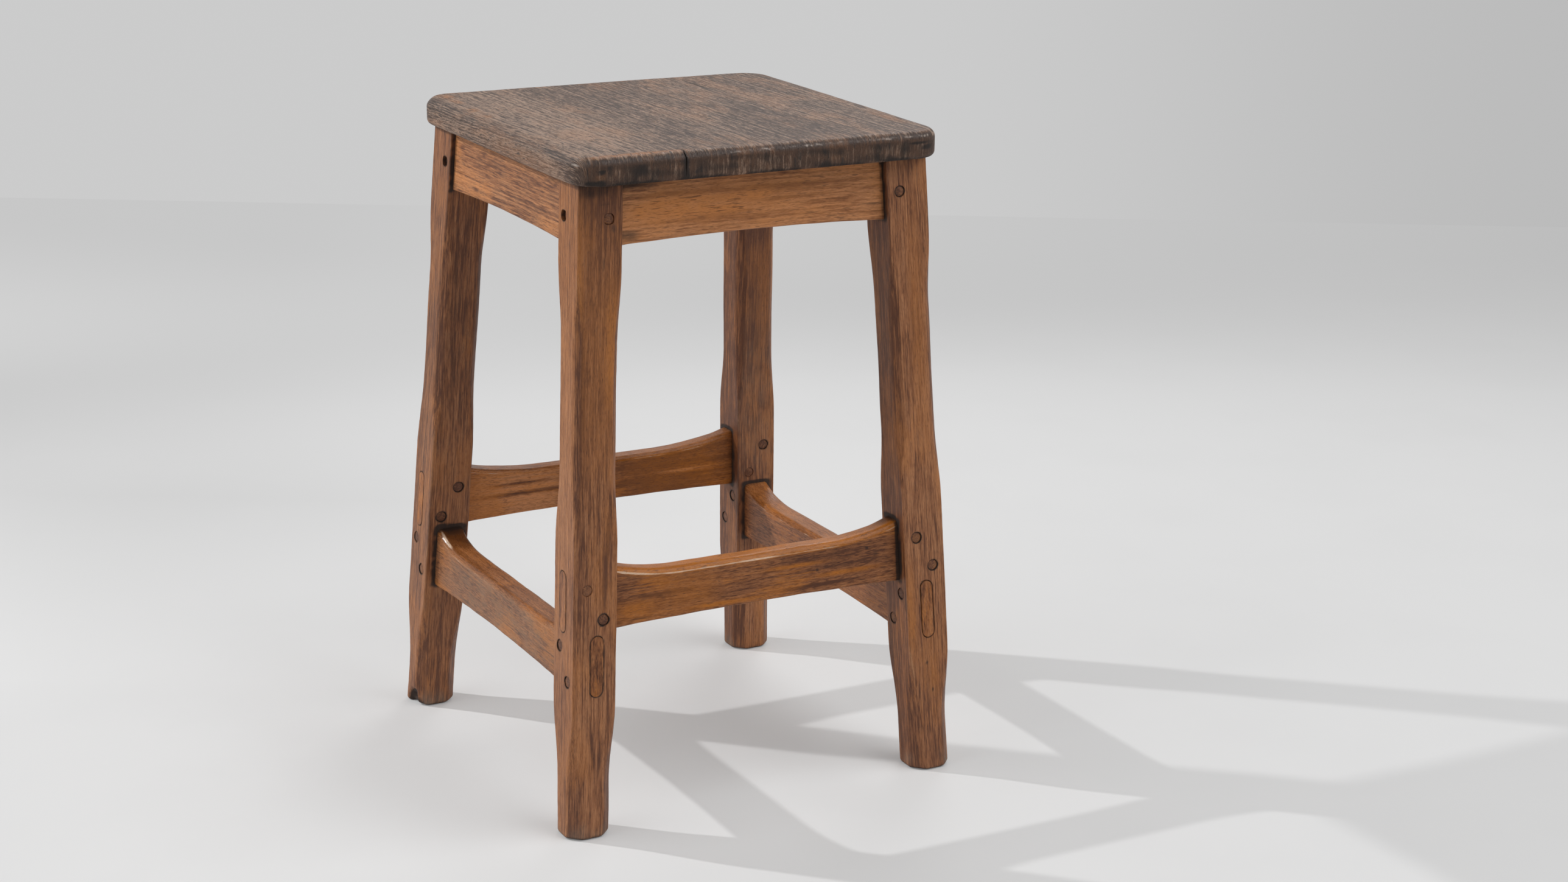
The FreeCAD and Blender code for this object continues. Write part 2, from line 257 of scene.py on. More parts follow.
@dataclass(frozen=True)
class Timber:
    """Oiled hardwood seen as a solid: rings, fibres, pores and streaks run through the piece.

    The mesh carries three vector attributes. Wood holds the place in the board in metres,
    with the grain along its third axis. Finish holds the worn share, which also lays painted
    glints and highlight lines, the dark share of dirt and painted shade, and the tone, and
    marks holds dust, amber and shine, each from 0 to 1, where a tone of 0.5 changes nothing.
    """

    name: str
    dark: Rgb
    middle: Rgb
    light: Rgb
    streak: Rgb
    # The pale worn colour also paints glints and highlight lines.
    worn: Rgb
    amber: Rgb
    grime: Rgb = (0.018, 0.013, 0.011)
    dust: Rgb = (0.19, 0.18, 0.145)
    pith: Tuple[float, float] = (0.11, 0.05)
    ring_pitch: float = 0.0032
    ring_share: float = 0.12
    fleck_share: float = 0.5
    pore_share: float = 0.5
    amber_share: float = 0.35
    streak_size: Tuple[float, float] = (0.0017, 0.055)
    dash_size: Tuple[float, float] = (0.0011, 0.008)
    streak_share: float = 0.45
    sheet: float = 1.0
    cloud_share: float = 1.0
    contrast: float = 1.0
    stops: Tuple[float, float, float] = (0.28, 0.50, 0.73)
    pale: float = 1.35
    wander: float = 0.012
    wander_scale: Place = (7, 7, 2.4)
    broad_scale: Place = (42, 42, 2.6)
    blotch_scale: Place = (26, 26, 11)
    patch_scale: Place = (110, 110, 50)
    pore_scale: Place = (2400, 2400, 200)
    grit_scale: Place = (1500, 1500, 1500)
    pore_tint: Rgb = (0.3, 0.25, 0.22)
    roughness: float = 0.5
    specular: float = 0.4
    bump_size: float = 0.00025
    bump_strength: float = 0.5

    @cached_property
    def material(self) -> Material:
        """The node material, built once.

        Figure is a value about 0.5 that sums the rings, the fibres and the clouds. A ramp turns
        it into the wood's colour, over which amber, flecks, worn spots and painted glints, pores,
        dust, and dirt and painted shade lie.

        Returns:
            The material.
        """
        graph = Graph(bpy.data.materials.new(self.name))
        wood = graph.attribute("wood")
        wear, grime, tone = graph.attribute("finish").parts()
        dust, amber, shine = graph.attribute("marks").parts()
        wander = graph.noise(wood, self.wander_scale, output="Color")
        bend = wander.vector("SUBTRACT", (0.5, 0.5, 0.5)).vector("MULTIPLY", (self.wander, self.wander, 0))
        bent = wood.vector("ADD", bend)
        across = bent.vector("SUBTRACT", (*self.pith, 0)).vector("MULTIPLY", (1, 1, 0))
        radius = graph.node("VectorMath", {"operation": "LENGTH"}, {0: across}, "Value")
        rings = graph.node(
            "TexNoise", {"noise_dimensions": "1D"},
            {"W": radius, "Scale": 1 / self.ring_pitch, "Detail": 2.0},
        )
        streaks = graph.fibres(bent, self.streak_size, self.sheet, 3.0)
        dashes = graph.fibres(bent, self.dash_size, self.sheet, 2.0)
        pores = graph.noise(bent, self.pore_scale, 1.0)
        broad = graph.noise(bent, self.broad_scale)
        blotch = graph.noise(wood, self.blotch_scale, 3.0, 0.6)
        patch = graph.noise(wood, self.patch_scale, 3.0, 0.65)

        grain = (rings - 0.5) * (self.ring_share * 2) + (streaks - 0.5) * self.streak_share
        grain = grain + (dashes - 0.5)
        cloud = (blotch - 0.5) * 0.5 + (broad - 0.5) * 0.2 + (patch - 0.5) * 0.35
        figure = (grain + cloud * self.cloud_share) * self.contrast + (tone - 0.5) * 0.9 + 0.5
        pale = tuple(self.pale * part for part in self.light)
        stops = zip((*self.stops, 1.0), (self.dark, self.middle, self.light, pale))
        colour = figure.ramp(tuple(stops))
        warm = (blotch + (streaks - 0.5) * 0.5).step(0.47, 0.66) * self.amber_share
        warm = warm.math("MAXIMUM", (amber * (0.3 + 1.3 * patch)).clamp())
        colour = colour.mixed(self.amber, warm)
        flecks = (dashes + (patch - 0.5) * 0.5).step(0.58, 0.70) * self.fleck_share
        colour = colour.mixed(self.streak, flecks)
        # The pale worn colour lays real worn spots and painted glints and highlight lines alike.
        worn_and_glinting = (wear * (0.15 + patch * 1.2 + dashes * 0.6)).step(0.3, 0.9)
        colour = colour.mixed(self.worn, worn_and_glinting * 0.8)
        holes = pores.step(0.57, 0.66) * self.pore_share
        colour = colour.mixed(self.pore_tint, holes, "MULTIPLY")
        film = (dust * (0.4 + 1.2 * patch)).step(0.1, 1.0)
        colour = colour.mixed(self.dust, film * 0.8)
        # The dark colour lays real dirt and painted shade alike.
        dirt = (grime * (0.45 + 1.1 * patch)).step(0.15, 0.85)
        colour = colour.mixed(self.grime, dirt * 0.92)

        grit = graph.noise(wood, self.grit_scale, 1.0)
        roughness = self.roughness + (grit - 0.5) * 0.25 + (dirt + film) * 0.2 - shine * 0.2
        height = dashes * 0.9 + streaks * 0.4 + patch * 0.5 - holes * 0.8
        normal = graph.bump(height, self.bump_size, self.bump_strength)
        values = {"Base Color": colour, "Roughness": roughness, "Normal": normal}
        values["Specular IOR Level"] = self.specular
        graph.end(graph.node("BsdfPrincipled", {}, values))
        return graph.owner


# Surfaces


@dataclass
class Shell:
    """A closed surface: points, four-sided faces and three-sided faces."""

    points: Array
    quads: Array
    tris: Array


def tube(rings: Array) -> Shell:
    """A closed tube through rings of points, each end closed by a fan to the ring's mean.

    Args:
        rings: Ring by point by coordinate. Seen from the last ring, the points run
            anticlockwise, so that the faces point outwards.

    Returns:
        The tube's surface.
    """
    count, around = rings.shape[:2]
    points = np.concatenate([rings.reshape(-1, 3), rings[:1].mean(1), rings[-1:].mean(1)])
    row = np.arange(count - 1)[:, None] * around
    here = np.arange(around)[None]
    there = (here + 1) % around
    beyond = row + around
    quads = np.stack([row + here, row + there, beyond + there, beyond + here], -1).reshape(-1, 4)
    here, there, last = here[0], there[0], (count - 1) * around
    start = np.stack([there, here, np.full(around, count * around)], -1)
    end = np.stack([last + here, last + there, np.full(around, count * around + 1)], -1)
    return Shell(points, quads, np.concatenate([start, end]))


def capped(rings: Array) -> Shell:
    """A closed tube whose flat ends have rings of their own, at END_SHARES of the end's size.

    Args:
        rings: Ring by point by coordinate, as for tube.

    Returns:
        The tube's surface.
    """
    ends = []
    for ring in (rings[:1], rings[-1:]):
        centre = ring.mean(1, keepdims=True)
        ends.append(np.concatenate([centre + (ring - centre) * share for share in END_SHARES]))
    return tube(np.concatenate([ends[0], rings, ends[1][::-1]]))


def smooth(value: Array, low: float, high: float) -> Array:
    """An S curve from 0 at low to 1 at high, or the reverse if low is higher."""
    t = np.clip((value - low) / (high - low), 0, 1)
    return t * t * (3 - 2 * t)


def bell(value: Array, width: float) -> Array:
    """A bell curve of 1 at 0 that falls as exp(-(value / width) ** 2)."""
    return np.exp(-(value / width) ** 2)


def circle(count: int) -> Array:
    """That many points round a circle of radius 1, as pairs."""
    turn = np.linspace(0, 2 * math.pi, count, endpoint=False)
    return np.stack([np.cos(turn), np.sin(turn)], -1)


def level_points(pairs: Array) -> Array:
    """Pairs as points at a height of 0."""
    return np.pad(pairs, ((0, 0), (0, 1)))


def raised(pairs: Array, z: Array) -> Array:
    """Rings of pairs as rings of points, each ring at a height of its own."""
    return np.concatenate([pairs, np.broadcast_to(z[:, None, None], (*pairs.shape[:2], 1))], -1)


def about_z(degrees: float) -> Array:
    """The matrix that turns rows of points about Z when they are multiplied by it."""
    c, s = math.cos(math.radians(degrees)), math.sin(math.radians(degrees))
    return np.array([[c, s, 0], [-s, c, 0], [0, 0, 1]])


@dataclass(frozen=True)
class Ripple:
    """Smooth irregularity: a sum of plane waves with random directions and phases.

    The value at a point is the sum of the cosines of (wave number . point + phase), divided
    so that it stays about within -1 and 1. The wave lengths lie between two bounds in metres.
    """

    seed: int
    longest: float
    shortest: float
    stretch: Place = (1.0, 1.0, 1.0)
    waves: int = 14

    def __call__(self, points: Array) -> Array:
        """The value at each point.

        Args:
            points: Points along the last axis, in any number of rows.

        Returns:
            One value for each point.
        """
        draw = np.random.default_rng(self.seed)
        way = draw.normal(size=(self.waves, 3))
        way /= np.linalg.norm(way, axis=1)[:, None]
        length = np.exp(draw.uniform(math.log(self.shortest), math.log(self.longest), self.waves))
        phase = draw.uniform(0, 2 * math.pi, self.waves)
        number = way * (2 * math.pi / length)[:, None] / np.array(self.stretch)
        return np.cos(points @ number.T + phase).sum(-1) / math.sqrt(2 * self.waves)


@dataclass(frozen=True)
class Dent:
    """A soft hollow or a chip: points near the place move along a direction.

    The move is depth times exp(-(distance / radius) ** power).
    """

    place: Place
    radius: float
    depth: float
    way: Place
    power: float = 2.0
    dirt: float = 0.0

    def share(self, points: Array) -> Array:
        """How deep each point lies in the hollow, from 0 to 1."""
        away = np.linalg.norm(points - np.array(self.place), axis=-1) / self.radius
        return np.exp(-away ** self.power)

    def apply(self, points: Array) -> Array:
        """The points with the hollow pressed into them."""
        way = np.array(self.way) / np.linalg.norm(self.way)
        return points + (self.depth * self.share(points))[..., None] * way


@dataclass(frozen=True)
class Section:
    """A rectangle with worked corners as a ring of points, the same number at every size.

    The points run anticlockwise from the corner at low first and low second coordinate. The
    corners are curves that the caller gives, and each side between two is divided evenly.
    """

    side_first: int
    side_second: int
    corner: int

    def normals(self) -> Array:
        """The outward direction of each point of a ring.

        Returns:
            The directions as pairs.
        """
        parts = []
        for k, count in enumerate((self.side_first, self.side_second) * 2):
            start = math.pi + k * math.pi / 2
            parts.append(np.linspace(start, start + math.pi / 2, self.corner))
            parts.append(np.full(count, start + math.pi / 2))
        turn = np.concatenate(parts)
        return np.stack([np.cos(turn), np.sin(turn)], -1)

    def round_corners(self, radii: Array) -> Tuple[Array, Array]:
        """Quarter circles: distances before and after each corner, from radii per ring and corner."""
        turn = np.linspace(0, math.pi / 2, self.corner)
        return radii[..., None] * (1 - np.sin(turn)), radii[..., None] * (1 - np.cos(turn))

    def cut_corners(self, chamfer: Array, soft: Array) -> Tuple[Array, Array]:
        """Flat cuts with softened edges.

        Each edge of the cut is a curve of the second degree from the face, soft before the
        cut, by way of the cut's own edge to soft along the cut.

        Args:
            chamfer: The cut's size along the faces, per ring and corner.
            soft: The length of the curve on each side of the cut's edge.

        Returns:
            Distances before and after each corner.
        """
        bend = self.corner // 2
        t = np.linspace(0, 1, bend)
        c, e = chamfer[..., None], soft[..., None] * np.ones(bend)
        lean = e * math.sqrt(0.5)
        before = (1 - t) ** 2 * (c + e) + 2 * t * (1 - t) * c + t ** 2 * (c - lean)
        after = t ** 2 * lean
        flat = self.corner - 2 * bend
        middle = np.repeat(c / 2, flat, -1)
        first = np.concatenate([before, middle, after[..., ::-1]], -1)
        second = np.concatenate([after, middle, before[..., ::-1]], -1)
        return first, second

    def rings(self, low: Array, high: Array, corners: Tuple[Array, Array]) -> Array:
        """The rings' points.

        Args:
            low: Lowest corner of each ring, as pairs.
            high: Highest corner of each ring.
            corners: Distances before and after each corner, per ring, corner and point.

        Returns:
            Ring by point by pair.
        """
        ways = np.array([(0, -1), (1, 0), (0, 1), (-1, 0), (0, -1)])
        picks = ((0, 0), (1, 0), (1, 1), (0, 1))
        curves = []
        for k, (a, b) in enumerate(picks):
            tip = np.stack([(high if a else low)[:, 0], (high if b else low)[:, 1]], -1)[:, None]
            before, after = corners[0][:, k, :, None], corners[1][:, k, :, None]
            curves.append(tip - before * ways[k] + after * ways[k + 1])
        parts = []
        for k, count in enumerate((self.side_first, self.side_second) * 2):
            share = (np.arange(1, count + 1) / (count + 1))[None, :, None]
            after = curves[(k + 1) % 4][:, :1]
            parts += [curves[k], curves[k][:, -1:] * (1 - share) + after * share]
        return np.concatenate(parts, 1)


# Frame


@dataclass(frozen=True)
class Frame:
    """The sizes the whole stool shares, as in the solids."""

    height: float = 0.575
    top_x: float = 0.340
    top_y: float = 0.313
    floor_x: float = 0.395
    floor_y: float = 0.394
    leg_x: float = 0.042
    leg_y: float = 0.040
    low_base: float = 0.128
    high_base: float = 0.183
    rail_height: float = 0.057
    apron_height: float = 0.0565

    def half_x(self, z: Array) -> Array:
        """Distance from the middle to the legs' outer X faces at a height."""
        return (self.floor_x - (self.floor_x - self.top_x) * z / self.height) / 2

    def half_y(self, z: Array) -> Array:
        """Distance from the middle to the legs' outer Y faces at a height."""
        return (self.floor_y - (self.floor_y - self.top_y) * z / self.height) / 2


STOOL = Frame()


@dataclass(frozen=True)
class Side:
    """One side of the stool in its own axes: it runs along X and its outside faces -Y."""

    turn: Turn

    @property
    def name(self) -> str:
        """Its name in the names of the pieces."""
        return self.turn.name.lower()

    @property
    def leg_run(self) -> float:
        """The leg's size along the side."""
        return STOOL.leg_x if self.turn.lengthwise else STOOL.leg_y

    @property
    def leg_out(self) -> float:
        """The leg's size across the side."""
        return STOOL.leg_y if self.turn.lengthwise else STOOL.leg_x

    def half_run(self, z: Array) -> Array:
        """Half the spread over the legs along the side."""
        return STOOL.half_x(z) if self.turn.lengthwise else STOOL.half_y(z)

    def half_out(self, z: Array) -> Array:
        """Distance from the middle to the side's outer plane."""
        return STOOL.half_y(z) if self.turn.lengthwise else STOOL.half_x(z)

    def shoulder(self, z: Array) -> Array:
        """Half the clear width between the legs."""
        return self.half_run(z) - self.leg_run

    def world(self, points: Array) -> Array:
        """Points turned from the side's axes to the stool's."""
        return points @ about_z(self.turn.value)

    def local(self, points: Array) -> Array:
        """Points turned from the stool's axes to the side's."""
        return points @ about_z(-self.turn.value)

    def placed(self, shell: Shell) -> Shell:
        """A surface turned from the side's axes to the stool's."""
        return Shell(self.world(shell.points), shell.quads, shell.tris)

    def end_word(self, end: int) -> str:
        """The word for where an end lies.

        Args:
            end: -1 or 1.

        Returns:
            Left, right, front or back.
        """
        x, y, _ = self.world(np.array([float(end), 0.0, 0.0]))
        if abs(x) > abs(y):
            return "left" if x < 0 else "right"
        return "front" if y < 0 else "back"


# Pieces


@dataclass
class Coat:
    """What is painted at each point of a piece.

    Wood is the place in the board. The others are shares from 0 to 1, where a tone of 0.5
    changes nothing.
    """

    wood: Array
    # The worn share also lays painted glints and highlight lines, and the dark share also lays painted
    # shade.
    wear: Array
    grime: Array
    tone: Array
    dust: Array
    amber: Array
    shine: Array

    @classmethod
    def bare(cls, wood: Array) -> "Coat":
        """The coat of clean wood.

        Args:
            wood: The places in the board.

        Returns:
            A coat without marks.
        """
        coat = cls(wood, *np.zeros((6, len(wood))))
        coat.tone += 0.5
        return coat

    def layers(self) -> Dict[str, Array]:
        """The mesh attributes by name.

        Returns:
            Three vectors for each point, where the shares are held between 0 and 1.
        """
        finish = np.stack([self.wear, self.grime, self.tone], -1)
        marks = np.stack([self.dust, self.amber, self.shine], -1)
        return {"wood": self.wood, "finish": np.clip(finish, 0, 1), "marks": np.clip(marks, 0, 1)}


Paint = Callable[[Array], Coat]


@dataclass(frozen=True)
class Board:
    """How a piece lay in the tree: which of its axes is the grain, and its turn about it."""

    grain: int
    seed: int
    slope: float = 0.012

    def wood(self, points: Array) -> Array:
        """Places in the board, turned and shifted by the seed.

        Args:
            points: Where, in the piece's axes.

        Returns:
            The places in the board's axes, with the grain last.
        """
        draw = np.random.default_rng(self.seed)
        turn = draw.uniform(0, 2 * math.pi)
        first, second, along = [points[:, (self.grain + k) % 3] for k in (1, 2, 0)]
        c, s = math.cos(turn), math.sin(turn)
        shift = draw.uniform(-0.03, 0.03, 2)
        lean = draw.uniform(-self.slope, self.slope, 2)
        u = c * first - s * second + shift[0] + lean[0] * along
        v = s * first + c * second + shift[1] + lean[1] * along
        return np.stack([u, v, along + draw.uniform(1, 9)], -1)


def raw_object(name: str, shell: Shell) -> bpy.types.Object:
    """Puts a surface into a new mesh object at the origin.

    Args:
        name: The name of the object and of its mesh.
        shell: The surface.

    Returns:
        The object.
    """
    mesh = bpy.data.meshes.new(name)
    mesh.vertices.add(len(shell.points))
    mesh.vertices.foreach_set("co", shell.points.astype(np.float32).ravel())
    corners = np.concatenate([shell.quads.ravel(), shell.tris.ravel()])
    sizes = np.repeat([4, 3], [len(shell.quads), len(shell.tris)])
    starts = np.cumsum(sizes) - sizes
    mesh.loops.add(len(corners))
    mesh.loops.foreach_set("vertex_index", corners.astype(np.int32))
    mesh.polygons.add(len(starts))
    mesh.polygons.foreach_set("loop_start", starts.astype(np.int32))
    mesh.update(calc_edges=True)
    piece = bpy.data.objects.new(name, mesh)
    bpy.context.scene.collection.objects.link(piece)
    return piece


def carved(name: str, shell: Shell, cutters: Sequence[Shell]) -> bpy.types.Object:
    """A surface with other closed surfaces cut out of it.

    Args:
        name: The new object's name.
        shell: What is cut.
        cutters: What is taken away, one after the other.

    Returns:
        The object with its final mesh.
    """
    piece = raw_object(name, shell)
    knives = [raw_object("knife", cutter) for cutter in cutters]
    for knife in knives:
        cut = piece.modifiers.new("cut", "BOOLEAN")
        cut.operation, cut.solver, cut.object = "DIFFERENCE", "MANIFOLD", knife
    shaped = piece.evaluated_get(bpy.context.evaluated_depsgraph_get())
    mesh = bpy.data.meshes.new_from_object(shaped)
    piece.modifiers.clear()
    old = piece.data
    piece.data = mesh
    bpy.data.meshes.remove(old)
    mesh.name = name
    for knife in knives:
        spare = knife.data
        bpy.data.objects.remove(knife)
        bpy.data.meshes.remove(spare)
    return piece


def finished(piece: bpy.types.Object, paint: Paint, timber: Timber, node: str) -> None:
    """Dresses a piece and sets it in the frame.

    Args:
        piece: The object with its final mesh.
        paint: Gives the coat of points.
        timber: The finish.
        node: The solid that the piece stands for.
    """
    mesh = piece.data
    points = np.empty(len(mesh.vertices) * 3, np.float32)
    mesh.vertices.foreach_get("co", points)
    coat = paint(points.reshape(-1, 3).astype(float))
    for name, values in coat.layers().items():
        layer = mesh.attributes.new(name, "FLOAT_VECTOR", "POINT")
        layer.data.foreach_set("vector", values.astype(np.float32).ravel())
    mesh.shade_smooth()
    mesh.set_sharp_from_angle(angle=SHARP_ANGLE)
    mesh.materials.clear()
    mesh.materials.append(timber.material)
    slot = timber.name
    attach(piece, ROOT)
    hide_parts(node)
    LOG.info("%s: %d points, %d faces", piece.name, len(mesh.vertices), len(mesh.polygons))


class Quality(Enum):
    """What a stroke changes."""

    TONE = "tone"
    # The worn and dark qualities also lay painted glints and painted shade.
    WEAR = "wear"
    GRIME = "grime"
    DUST = "dust"
    AMBER = "amber"
    SHINE = "shine"


@dataclass(frozen=True)
class Stroke:
    """A painted change on one face of a piece: a soft oval, or a long streak.

    Its strength fades as exp(-|u / half_u| ** 3 - |v / half_v| ** 3), where u and v are the
    distances from its middle along the face's level and upright directions. A rail's top is
    its right face and its foot the left one. The seat's top is its back face.
    """

    face: Turn
    quality: Quality
    u: float
    v: float
    half_u: float
    half_v: float
    change: float
    lean: float = 0.0

    def apply(self, coat: Coat, u: Array, v: Array, on_face: Array) -> None:
        """Adds the change to a coat.

        Args:
            coat: The coat of the piece's points.
            u: Each point's place along the face's level direction.
            v: Its place along the upright direction.
            on_face: How much it belongs to the face, from 0 to 1.
        """
        off_u = np.abs(u - self.u - self.lean * (v - self.v)) / self.half_u
        off_v = np.abs(v - self.v) / self.half_v
        layer = getattr(coat, self.quality.value)
        layer += self.change * np.exp(-off_u ** 3 - off_v ** 3) * on_face


def strokes(face: Turn, quality: Quality, *rows: Sequence[float]) -> Tuple[Stroke, ...]:
    """Strokes of one quality on one face, from rows of a stroke's numbers in their order."""
    return tuple(Stroke(face, quality, *row) for row in rows)


def brush(coat: Coat, marks: Sequence[Stroke], faces: Dict[Turn, Tuple[Array, Array, Array]]) -> None:
    """Adds strokes to a coat. Each face has its level and upright coordinates and its share."""
    for mark in marks:
        mark.apply(coat, *faces[mark.face])


def stadium_distance(u: Array, v: Array, half: float, radius: float) -> Array:
    """Distance from points to the outline of a slot with round ends, below 0 inside it."""
    return np.hypot(u, np.maximum(np.abs(v) - half, 0)) - radius


# Rails and their joints

# Where a face's paint fades and end grain starts, and how much room the cutters leave.
FACE_EDGE = (0.0020, 0.0008)
END_FACE = 0.002
OVERCUT = 0.003
BLIND_SPARE = 0.0006
RAIL_ROOM = 0.0001
LEG_ROOM = 0.0003
LEG_ROOM_FAINT = 0.00022


@dataclass(frozen=True)
class Tenon:
    """A rail's tenon: its height range, where it lies across the side and its form."""

    base: float
    height: float
    inset: float
    thickness: float
    through: bool

    @property
    def middle(self) -> float:
        """Height of the tenon's middle."""
        return self.base + self.height / 2

    @property
    def corner_radius(self) -> float:
        """A through tenon has round ends, a blind one is square."""
        return self.thickness / 2 if self.through else 0.0008


@dataclass(frozen=True)
class PegHole:
    """Where a peg stands in a joint, in the side's axes, and how it looks."""

    x: float
    z: float
    radius: float
    depth: float
    recess: float
    square: float = 2.0
    faint: float = 0.0


@dataclass(frozen=True)
class Lie:
    """How points lie on a rail.

    Body tells those of the board itself from those of a tenon. Head is the distance below the
    upper edge, foot the one above the lower edge and outer the one to the nearer face. Patchy
    is an uneven share about 0.6.
    """

    body: Array
    head: Array
    foot: Array
    outer: Array
    patchy: Array


@dataclass
class Rail:
    """A board between two legs, with its two tenons. Aprons and stretchers are rails."""

    side: Side
    base: float
    height: float
    thickness: float
    inset: float
    seed: int
    section: Section = Section(12, 38, 8)
    rows: int = 190
    end_rows: int = 16
    mitre: float = 0.0005
    gap: float = 0.00030
    gap_waver: float = 0.00024
    least_gap: float = 0.00004
    blind_gap: float = 0.0001
    wave_length: float = 0.09
    wave: float = 0.00022
    fine_wave: float = 0.00006
    sink: float = 0.0002
    fade_from: float = 0.9
    level_top: bool = False
    tone: float = 0.0
    strokes: Sequence[Stroke] = ()
    faint_pegs: Sequence[Tuple[int, int, float]] = ()

    def faintness(self, end: int, level: int) -> float:
        """How far a peg fades into the wood, from 0 to 1."""
        return sum(share for *at, share in self.faint_pegs if at == [end, level])

    def tenon(self) -> Tenon:
        """The rail's tenon."""
        raise NotImplementedError

    def edges(self, x: Array) -> Tuple[Array, Array]:
        """Heights of the lower and upper edge at places from -1 to 1 along the rail."""
        raise NotImplementedError

    def radii(self, x: Array) -> Array:
        """Corner radii at the outer foot, inner foot, inner head and outer head."""
        raise NotImplementedError

    def node(self) -> str:
        """Name of the solid that the piece stands for, from its side and its class."""
        return "%s_%s" % (self.side.name, type(self).__name__.lower())

    def worn(self, points: Array, along: Array) -> Array:
        """The board with ripples of a few tenths of a millimetre, which fade at the shoulders.

        Args:
            points: The board's rings.
            along: Where each ring is, from -1 to 1 along the rail.

        Returns:
            The rings, pushed along their outward directions. A level top stays as it is.
        """
        fade = smooth(np.abs(along), 1.0, self.fade_from)[:, None]
        way = self.section.normals()
        wave = self.wave * Ripple(self.seed, self.wave_length, 0.012, (1.8, 1.0, 1.0))(points)
        wave += self.fine_wave * Ripple(self.seed + 1, 0.012, 0.004, (2.0, 1.0, 1.0))(points)
        push = (wave - self.sink) * fade
        points[..., 1] += push * way[:, 0]
        points[..., 2] += push * (np.minimum(way[:, 1], 0) if self.level_top else way[:, 1])
        return points

    def lay(self, pairs: Array, along: Array) -> Array:
        """Rings of the board from their pairs.

        Args:
            pairs: Across the board from its outer face, and height.
            along: Where each ring is, from -1 to 1 between the shoulders.

        Returns:
            The rings in the side's axes.
        """
        across, z = pairs[..., 0], pairs[..., 1]
        x = along * self.side.shoulder(z)
        return np.stack([x, self.inset + across - self.side.half_out(z), z], -1)

    def tenon_rings(self, end: int, grow: Array, shares: Array) -> Array:
        """Rings of a tenon. Its far end is the leg's outer face, or the mitre of a blind one.

        Args:
            end: -1 or 1, the rail's end.
            grow: How much larger than the tenon, for each point of a ring.
            shares: Where the rings lie, from 0 at the shoulder to 1 at the far end.

        Returns:
            Ring by point by coordinate, in the side's axes.
        """
        tenon = self.tenon()
        half = tenon.thickness / 2
        middle = tenon.inset - self.inset + half
        low = np.array([[middle - half, tenon.base]])
        high = np.array([[middle + half, tenon.base + tenon.height]])
        corners = self.section.round_corners(np.full((1, 4), tenon.corner_radius))
        pairs = self.section.rings(low, high, corners)[0] + grow[:, None] * self.section.normals()
        across, z = pairs[:, 0][None], pairs[:, 1][None]
        y = self.inset + across - self.side.half_out(z)
        start = self.side.shoulder(z)
        if tenon.through:
            stop = self.side.half_run(z) + 0 * across
        else:
            stop = self.side.half_run(z) - self.mitre - (y + self.side.half_out(z))
        x = end * (start + (stop - start) * shares[:, None])
        return np.stack([x, y + 0 * x, z + 0 * x], -1)

    def body_rings(self) -> Array:
        """Rings of the board from its left shoulder to its right one.

        Returns:
            The rings in the side's axes.
        """
        along = np.linspace(-1, 1, self.rows)
        low, high = self.edges(along)
        corners = self.section.round_corners(self.radii(along))
        inner, outer = np.zeros(self.rows), np.full(self.rows, self.thickness)
        pairs = self.section.rings(np.stack([inner, low], -1), np.stack([outer, high], -1), corners)
        return self.worn(self.lay(pairs, along[:, None]), along)

    def shell(self) -> Shell:
        """The whole rail before its holes.

        Returns:
            Its surface, tenons and all, in the stool's axes.
        """
        none = np.zeros(len(self.section.normals()))
        shares = np.linspace(0, 1, self.end_rows)
        left = self.tenon_rings(-1, none, shares[::-1])
        right = self.tenon_rings(1, none, shares)
        return self.side.placed(capped(np.concatenate([left, self.body_rings(), right])))

    def mortise(self, end: int) -> Shell:
        """What a tenon's hole takes out of a leg: the tenon, a little and unevenly larger.

        Args:
            end: -1 or 1, the rail's end.

        Returns:
            The surface in the stool's axes.
        """
        normals = self.section.normals()
        around = np.concatenate([normals, np.full((len(normals), 1), float(end))], 1)
        if self.tenon().through:
            gap = self.gap + self.gap_waver * Ripple(self.seed + 40 + end, 1.6, 0.35)(around)
            grow, reach = np.maximum(gap, self.least_gap), (-0.08, 1.08)
        else:
            grow, reach = np.full(len(normals), self.blind_gap), (-0.15, 1.0)
        return self.side.placed(tube(self.tenon_rings(end, grow, np.array(reach)[::end])))

    def dowel_holes(self) -> List[Shell]:
        """Holes for dowels into the seat. A plain rail has none."""
        return []

    def peg_cutter(self, k: int, hole: PegHole, room: float) -> Shell:
        """The bore for the rail's peg number k, with room round it, on past the leg's faces."""
        beyond = OVERCUT if self.tenon().through else BLIND_SPARE
        return peg_shell(hole, self.side, -OVERCUT, hole.depth + beyond, room, self.seed + k)

    def holes(self) -> List[Tuple[int, int, PegHole]]:
        """The pegs as (end, level, hole), where level tells two pegs of a joint apart."""
        raise NotImplementedError

    def rim_distance(self, points: Array) -> Array:
        """Distance from points to the nearest outline of a peg or a through tenon.

        Args:
            points: Where, in the stool's axes.

        Returns:
            The distances, 1 where a piece has no outline near.
        """
        x, y, z = self.side.local(points).T
        away = np.full(len(x), 1.0)
        tenon = self.tenon()
        if tenon.through:
            across = y + self.side.half_out(z) - tenon.inset - tenon.thickness / 2
            hub = tenon.height / 2 - tenon.thickness / 2
            slot = stadium_distance(across, z - tenon.middle, hub, tenon.thickness / 2)
            ends = np.abs(x) > self.side.half_run(z) - 0.003
            away = np.where(ends, np.abs(slot), away)
        for _, _, hole in self.holes():
            ring = np.abs(np.hypot(x - hole.x, z - hole.z) - hole.radius) + hole.faint * hole.radius
            away = np.minimum(away, ring)
        return away

